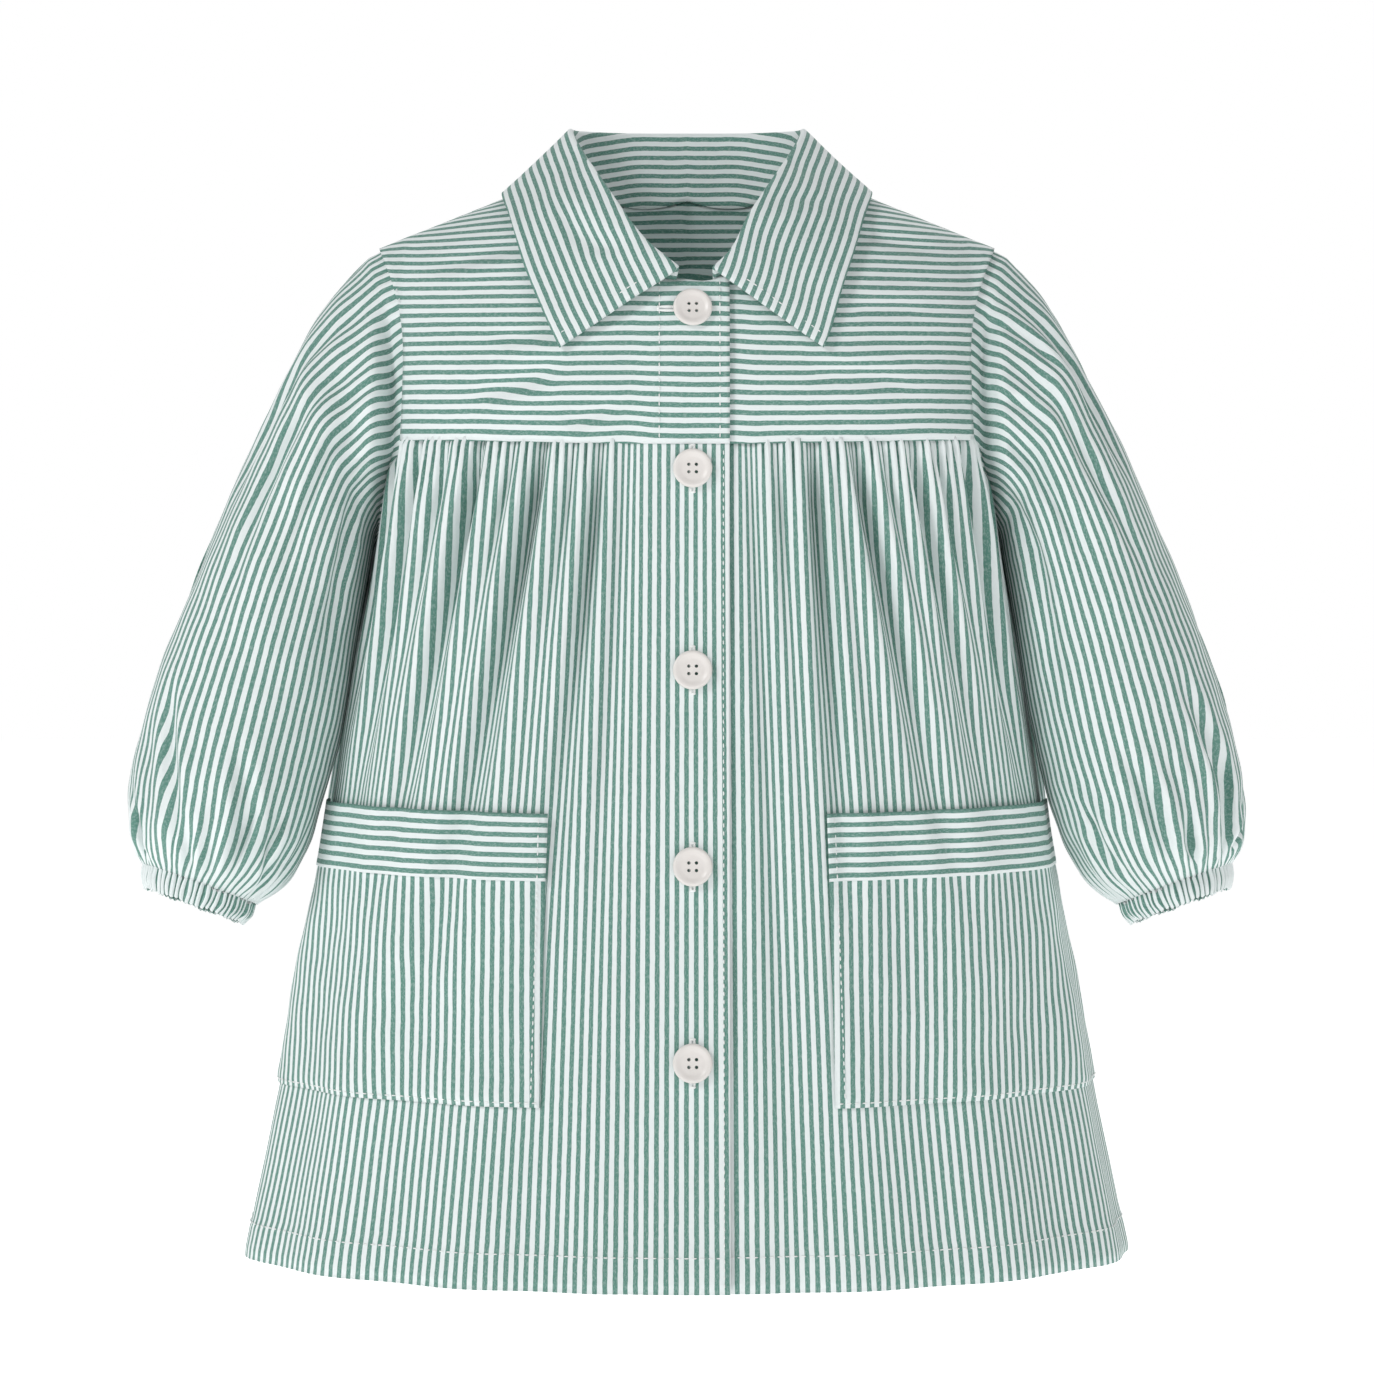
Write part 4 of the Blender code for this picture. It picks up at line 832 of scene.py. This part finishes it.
cuff = dict(ribs=60, columns=600, rows=14, height=0.0014, wall=0.0006)


def makeCuff(side):
    def form(u, v):
        number = u * cuff["ribs"]
        number = number + 0.16 * np.sin(2.1 * number + side) * np.sin(np.pi * v)
        rib = np.abs(np.sin(np.pi * (number + 0.14))) ** 0.9
        lean = 1 + 0.26 * np.sin(1.3 * number + side) + 0.18 * np.sin(2.9 * number)
        swell = 0.72 + 0.28 * np.sin(np.pi * v)
        points = ringOf(cuffRings, u, v, cuff["height"] * (rib * lean - 0.25) * swell)
        edge = -0.0011 * np.cos(2 * np.pi * number) + 0.0009 * np.sin(0.9 * number) + 0.0005 * np.sin(2.3 * number)
        points[:, 2] += edge * (1 - v) - 0.5 * edge * v
        points[:, 0] *= side
        return points, np.stack([number * cloth["pitch"], sleeve["length"] + v * 0.013], axis=-1)

    name = "cuffRight" if side < 0 else "cuffLeft"
    rows = np.linspace(0, 1, cuff["rows"] + 1)
    piece = clothPiece(name, cuff["columns"], rows, form, cotton, wall=cuff["wall"], merge=True)
    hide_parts("cuff_right" if side < 0 else "cuff_left")


for side in (-1, 1):
    makeSleeve(side)
    makeCuff(side)
print("sleeves and cuffs made")

collarRows = table(
    "run neck rollX rollY rollZ edgeX edgeY edgeZ",
    (0.00, 0.0, 0.0000, 0.0550, 0.0405, 0.0000, 0.0660, -0.0100),
    (0.14, 33.0, 0.0330, 0.0500, 0.0400, 0.0430, 0.0580, -0.0090),
    (0.28, 66.0, 0.0555, 0.0260, 0.0380, 0.0800, 0.0330, -0.0010),
    (0.38, 90.0, 0.0585, 0.0020, 0.0355, 0.0893, 0.0000, 0.0040),
    (0.55, 118.0, 0.0470, -0.0320, 0.0125, 0.0835, -0.0400, -0.0180),
    (0.70, 138.0, 0.0335, -0.0590, -0.0090, 0.0770, -0.0600, -0.0400),
    (0.84, 157.0, 0.0210, -0.0712, -0.0265, 0.0692, -0.0720, -0.0600),
    (1.00, 176.0, 0.0045, -0.0785, -0.0410, 0.0608, -0.0800, -0.0788),
)
collarSection = table(
    "across rise fall roll",
    (0, 0.00, 0.00, -1.0),
    (1, 0.50, 0.00, -1.0),
    (2, 0.95, 0.00, -1.0),
    (3, 1.00, 0.00, 0.0),
    (4, 1.00, 0.04, 1.0),
    (5, 1.00, 0.30, 1.0),
    (6, 1.00, 0.62, 1.0),
    (7, 1.00, 1.00, 1.0),
)
collar = dict(wall=0.0016, roll=0.0016, clear=0.0030, room=0.0026, leftShift=0.0085, leftTurn=6.0)
collarCreases = [(-0.150, 0.030, -0.205, 0.044, 0.0055, 0.0020), (0.140, 0.026, 0.175, 0.048, 0.0055, 0.0014)]


def neckPoint(degrees, side):
    angle = np.radians(degrees)
    sin, cos = np.sin(angle), np.cos(angle)
    reach = np.where(cos > 0, neck["back"], neck["front"])
    n = neck["round"]
    x = ((sin / neck["halfWidth"]) ** n + (np.abs(cos) / reach) ** n) ** (-1 / n) * sin
    points = np.zeros((len(angle), 3))
    for facing in (-1, 1):
        chosen = (cos > 0) == (facing > 0)
        points[chosen] = yokeForm(x[chosen], neckTurn(x[chosen], facing), facing, 0.0)
    points[:, 0] *= side
    return points


def collarPoints(u, v, lift=0.0):
    run, side = np.abs(2 * u - 1), np.where(u < 0.5, -1.0, 1.0)
    get = {name: curveAt(collarRows, name, run, "run") for name in collarRows if name != "run"}
    shift = np.where(side > 0, collar["leftShift"], 0.0) * soft((run - 0.7) / 0.3)
    seamLine = neckPoint(get["neck"] - collar["leftTurn"] * shift / collar["leftShift"], side)
    roll = np.stack([side * get["rollX"] + shift, get["rollY"], get["rollZ"]], axis=-1)
    edge = np.stack([side * get["edgeX"] + shift * 0.5, get["edgeY"], get["edgeZ"]], axis=-1)
    edge = offYoke(edge, collar["clear"], 1.0)
    roll = offYoke(roll, collar["clear"] + collar["room"], 0.0)
    seamLine[:, 2] += 0.0004
    outward = np.stack([roll[:, 0], roll[:, 1] * 0.8, np.zeros_like(run)], axis=-1)
    outward /= np.linalg.norm(outward, axis=1)[:, None]
    rise, fall, turn = [curveAt(collarSection, name, v * 7, "across")[:, None] for name in ("rise", "fall", "roll")]
    points = mixed(mixed(seamLine, roll, rise), edge, fall) + outward * collar["roll"] * turn * (1 - 0.5 * fall)
    points[:, 2] += collar["roll"] * (1 - np.abs(turn[:, 0]))
    clear = collar["clear"] + collar["room"] * (1 - soft((fall[:, 0] - 0.3) / 0.4))
    falling = turn[:, 0] > 0
    points[falling] = offYoke(points[falling], clear[falling] + lift, 0.0)
    return points


def collarAcross(u, v):  # cloth in from the free edge
    steps = np.linspace(0, 1, 24)
    path = np.stack([collarPoints(u, mixed(v, 1.0, step)) for step in steps], axis=1)
    return np.linalg.norm(np.diff(path, axis=1), axis=2).sum(axis=1)


def makeCollar():
    def form(u, v):
        points = collarPoints(u, v)
        across = collarAcross(u, v)
        falling = soft((v - 0.5) / 0.1)
        wave = 0.0006 * uneven((2 * u - 1) * 0.25, across, 0.08, 3) * falling
        wave = wave + creased((2 * u - 1) * 0.25, across, collarCreases) * falling
        points[:, 1] += wave * np.where(points[:, 1] < 0, -1, 1) * 0.7
        points[:, 2] += wave * 0.7
        return points, np.stack([across + 0.7 * wave, (2 * u - 1) * 0.25], axis=-1)

    rows = np.interp(np.linspace(0, 1, 61), (0, 0.18, 0.50, 1), (0, 2 / 7, 4.2 / 7, 1))
    piece = clothPiece("collar_leaf", 200, rows, form, cottonFlat, wall=collar["wall"])
    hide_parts("collar")


makeCollar()
print("collar made")

pocket = dict(top=-0.2965, bandBottom=-0.3285, bottom=-0.4350, innerTop=0.0675, innerBottom=0.0705, outer=0.985,
              lift=0.0018, puff=0.0014, bandLift=0.0026, bandWall=0.0014)


def onSkirt(side, u, z, lift):
    inner = mixed(pocket["innerTop"], pocket["innerBottom"], (pocket["top"] - z) / (pocket["top"] - pocket["bottom"]))
    length = quarterLength(z, -1)
    q = mixed(inner / length, pocket["outer"], u)
    return skirtForm(side, -1, q, z, skirtRelief(side, -1, q, z) + lift), q * length


def makePocket(side):
    def bag(u, v):
        z = mixed(pocket["bandBottom"] + 0.0012, pocket["bottom"], v)
        edge = soft(u / 0.03) * soft((1 - u) / 0.03) * soft((1 - v) / 0.04)
        puff = pocket["puff"] * np.sin(np.pi * u) ** 0.6 * np.sin(np.pi * v)
        wave = 0.0006 * uneven(u * 0.13, z, 0.05, side) * edge
        points, across = onSkirt(side, u, z, mixed(0.0009, pocket["lift"], edge) + puff + wave)
        return points, np.stack([side * across + 0.0024, z], axis=-1)

    def band(u, v):
        z = mixed(pocket["top"], pocket["bandBottom"], v)
        points, across = onSkirt(side, u, z, pocket["bandLift"] + 0.0004 * uneven(u * 0.13, z, 0.07, side + 1))
        return points, np.stack([z + 0.0006, side * across], axis=-1)

    word = "Right" if side < 0 else "Left"
    bagPiece = clothPiece("pocket" + word, 90, np.linspace(0, 1, 71), bag, cotton)
    bandPiece = clothPiece("pocketBand" + word, 90, np.linspace(0, 1, 21), band, cottonFlat, wall=pocket["bandWall"])
    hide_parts("pocket_" + word.lower())
    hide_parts("pocket_band_" + word.lower())


for side in (-1, 1):
    makePocket(side)
print("pockets made")

stitch = dict(length=0.0025, gap=0.0013, radius=0.00036, standEdge=0.0030, standRows=(0.0133, -0.0158),
              collarFront=0.96, pocketEdge=0.022)


def stitchLines(name, lines):
    # each line is an array of points on the cloth; every stitch is a short rounded bar
    length, gap, radius = stitch["length"], stitch["gap"], stitch["radius"]
    bm = bmesh.new()
    for line in lines:
        run = np.concatenate([[0], np.cumsum(np.linalg.norm(np.diff(line, axis=0), axis=1))])
        for at in np.arange(gap, run[-1] - length, length + gap):
            ends = [Vector([np.interp(s, run, line[:, k]) for k in range(3)]) for s in (at, at + length)]
            turned = (ends[1] - ends[0]).to_track_quat("Z", "Y").to_matrix().to_4x4()
            place = Matrix.Translation((ends[0] + ends[1]) / 2) @ turned
            made = bmesh.ops.create_icosphere(bm, subdivisions=1, radius=radius, matrix=Matrix())["verts"]
            bmesh.ops.scale(bm, vec=(1, 1, length / 2 / radius), verts=made)
            bmesh.ops.transform(bm, matrix=place, verts=made)
    finishPiece(name, bm, sewingThread)


def skirtLine(side, facing, qs, heights, extra=0.0006):
    top = skirtTop(qs, facing) + 0.0010
    return skirtPoints(side, facing, qs, (top - heights) / (top - hem), extra)[0]


even = np.linspace(0, 1, 400)
hemHeight = hem + skirt["hemFold"] - 0.001
for side, word in ((-1, "Right"), (1, "Left")):
    inner = (stand["over"] if side < 0 else stand["under"]) / quarterLength(hem, -1)
    qs = mixed(-inner + 0.01, 1.0, even)
    stitchLines("hemStitches" + word, [skirtLine(side, -1, qs, np.full(400, hemHeight)),
                                       skirtLine(side, 1, even, np.full(400, hemHeight))])
standHeights = mixed(seam - 0.003, hem + 0.002, even)
lines = [skirtLine(-1, -1, -(stand["over"] - stitch["standEdge"]) / quarterLength(standHeights, -1), standHeights)]
for across in stitch["standRows"]:
    x = np.full(200, across)
    turn = np.linspace(0.005, 1, 200) * neckTurn(np.abs(x), -1)
    points = yokeForm(np.abs(x), turn, -1, stand["rise"] + 0.0010)
    points[:, 0] = -x
    lines.append(points)
stitchLines("standStitches", lines)
lines = []
for side in (-1, 1):
    u = np.full(400, 0.5 + 0.5 * side * stitch["collarFront"])
    lines.append(collarPoints(u, mixed(0.60, 0.985, even), lift=0.0013))
stitchLines("collarStitches", lines)
lines = []
for side in (-1, 1):
    inBag = lambda u, z, lift: onSkirt(side, u, z, lift)[0]
    down = mixed(pocket["top"] - 0.001, pocket["bandBottom"], even)
    lines.append(inBag(np.full(400, stitch["pocketEdge"]), down, pocket["bandLift"] + 0.0011))
    down = mixed(pocket["bandBottom"], pocket["bottom"] + 0.002, even)
    lines.append(inBag(np.full(400, stitch["pocketEdge"]), down, pocket["lift"] + 0.0011))
    lines.append(inBag(even, np.full(400, pocket["bottom"] + 0.0022), pocket["lift"] + 0.0002))
stitchLines("pocketStitches", lines)
print("stitches made")

button = dict(at=0.0027, heights=(-0.0595, -0.1365, -0.2330, -0.3262, -0.4184), lift=0.0021, hole=0.00082,
              spread=0.0018, steps=56)
buttonProfile = (  # out from the middle, up from the back
    (0.0, 0.0017), (0.0050, 0.0017), (0.0062, 0.0019), (0.0070, 0.0024), (0.0080, 0.0027), (0.0088, 0.0026),
    (0.0093, 0.0021), (0.0094, 0.0015), (0.0090, 0.0008), (0.0080, 0.0003), (0.0, 0.0),
)


def buttonPlace(z, lift):
    places = []
    for stepX, stepZ in ((0, 0), (0.001, 0), (0, 0.001)):
        x = np.array([-(button["at"] + stepX)])
        height = np.array([z + stepZ + frontDip])
        if z > seam:
            rise = (z + stepZ - seam + frontDip) / (shoulderHeight(x) - seam + frontDip)
            point = yokeForm(x, np.arcsin(rise ** (shoulder["frontRound"] / 2)), -1, lift)
            point[:, 0] *= -1
        else:
            point = skirtForm(-1, -1, x / quarterLength(height, -1), height, lift)
        places.append(Vector(point[0]))
    across, up = (places[1] - places[0]).normalized(), (places[2] - places[0]).normalized()
    normal = across.cross(up).normalized()
    return Matrix.LocRotScale(places[0], Matrix((across, normal.cross(across), normal)).transposed(), None)


def applied(piece):  # the piece's modifiers made into its mesh
    depsgraph = bpy.context.evaluated_depsgraph_get()
    mesh = bpy.data.meshes.new_from_object(piece.evaluated_get(depsgraph))
    piece.modifiers.clear()
    piece.data = mesh


def makeButton(number, z):
    bm = bmesh.new()
    verts = [bm.verts.new((r, 0, h)) for r, h in buttonProfile]
    edges = [bm.edges.new(pair) for pair in zip(verts, verts[1:])]
    bmesh.ops.spin(bm, geom=verts + edges, cent=(0, 0, 0), axis=(0, 0, 1), angle=2 * math.pi, steps=button["steps"],
                   use_merge=True)
    bmesh.ops.remove_doubles(bm, verts=bm.verts, dist=1e-6)
    bmesh.ops.recalc_face_normals(bm, faces=bm.faces)
    holes = bmesh.new()
    for x in (-1, 1):
        for y in (-1, 1):
            at = Matrix.Translation((x * button["spread"], y * button["spread"], 0))
            bmesh.ops.create_cone(holes, cap_ends=True, segments=20, radius1=button["hole"], radius2=button["hole"],
                                  depth=0.02, matrix=at)
    cutterMesh = bpy.data.meshes.new("buttonCutter")
    holes.to_mesh(cutterMesh)
    holes.free()
    cutter = bpy.data.objects.new("buttonCutter", cutterMesh)
    collection.objects.link(cutter)
    piece = finishPiece(f"buttonIvory{number}", bm, buttonIvory)
    cut = piece.modifiers.new("holes", "BOOLEAN")
    cut.operation, cut.solver, cut.object = "DIFFERENCE", "EXACT", cutter
    applied(piece)
    piece.data.transform(buttonPlace(z, button["lift"]))
    piece.data.shade_smooth()
    piece.data.set_sharp_from_angle(angle=math.radians(40))
    bpy.data.objects.remove(cutter, do_unlink=True)
    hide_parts(f"button_{number}")


def bar(bm, place, x, y, halfX, halfY, radius):  # a low rounded bar of thread
    made = bmesh.ops.create_icosphere(bm, subdivisions=2, radius=1.0, matrix=Matrix())["verts"]
    bmesh.ops.scale(bm, vec=(halfX, halfY, radius), verts=made)
    bmesh.ops.transform(bm, matrix=place @ Matrix.Translation((x, y, 0)), verts=made)


def makeButtonThread():
    bm = bmesh.new()
    for number, z in enumerate(button["heights"]):
        ground = buttonPlace(z, stand["rise"] + cloth["thickness"] / 2)
        if number == 0:
            for y in (-0.0009, 0.0009):
                bar(bm, ground, -0.0120, y, 0.0048, 0.0008, 0.0004)
            bar(bm, ground, -0.0166, 0, 0.0008, 0.0016, 0.0005)
        else:
            for y in (-1, 1):
                bar(bm, ground, 0.0, y * 0.0113, 0.0015, 0.0007, 0.0005)
                for x in (-0.0008, 0.0008):
                    bar(bm, ground, x, y * 0.0095, 0.0006, 0.0020, 0.0004)
    finishPiece("buttonThread", bm, sewingThread)


for number, z in enumerate(button["heights"], start=1):
    makeButton(number, z)
makeButtonThread()
print("buttons made")


def makeFloor():
    bm = bmesh.new()
    bmesh.ops.create_grid(bm, x_segments=2, y_segments=2, size=30.0)
    bmesh.ops.translate(bm, vec=(0, 0, -0.640), verts=bm.verts)
    mesh = bpy.data.meshes.new("paleFloor")
    bm.to_mesh(mesh)
    bm.free()
    mesh.shade_smooth()
    pale = bpy.data.materials.new("paleFloor")
    pale.use_nodes = True
    shader = pale.node_tree.nodes["Principled BSDF"]
    shader.inputs["Base Color"].default_value = (0.9, 0.9, 0.9, 1.0)
    shader.inputs["Roughness"].default_value = 0.9
    shader.inputs["Emission Color"].default_value = (1.0, 1.0, 1.0, 1.0)
    shader.inputs["Emission Strength"].default_value = 0.74  # keeps the floor white up to the horizon
    mesh.materials.append(pale)
    floor = bpy.data.objects.new("paleFloor", mesh)
    collection.objects.link(floor)


def addLight(name, place, aim, size, power):
    light = bpy.data.lights.new(name, "AREA")
    light.shape, light.size, light.energy = "DISK", size, power
    lamp = bpy.data.objects.new(name, light)
    lamp.location = place
    lamp.rotation_euler = (Vector(aim) - Vector(place)).to_track_quat("-Z", "Y").to_euler()
    collection.objects.link(lamp)


makeFloor()
addLight("keyLight", (-2.6, -2.3, 1.9), (0, 0, -0.25), 1.2, 57)
addLight("fillLight", (1.9, -1.7, 0.9), (0, 0, -0.25), 1.6, 8)
addLight("backLight", (0.4, 1.7, 1.6), (0, 0, -0.1), 1.4, 20)
bpy.context.scene.view_settings.view_transform = "Standard"  # keeps the pale cloth's own tones
world = bpy.data.worlds.new("studio")
world.use_nodes = True
room = world.node_tree.nodes["Background"]
room.inputs["Color"].default_value = (1.0, 1.0, 1.0, 1.0)
room.inputs["Strength"].default_value = 0.30
white = addNode(world.node_tree, "ShaderNodeBackground", 0, -200)
white.inputs["Color"].default_value = (1.0, 1.0, 1.0, 1.0)
seen = addNode(world.node_tree, "ShaderNodeLightPath", 0, 300)  # the backdrop is white, the room's light softer
blend = addNode(world.node_tree, "ShaderNodeMixShader", 250, 100)
world.node_tree.links.new(seen.outputs["Is Camera Ray"], blend.inputs[0])
world.node_tree.links.new(room.outputs[0], blend.inputs[1])
world.node_tree.links.new(white.outputs[0], blend.inputs[2])
world.node_tree.links.new(blend.outputs[0], world.node_tree.nodes["World Output"].inputs["Surface"])
bpy.context.scene.world = world
print("floor and lights made")
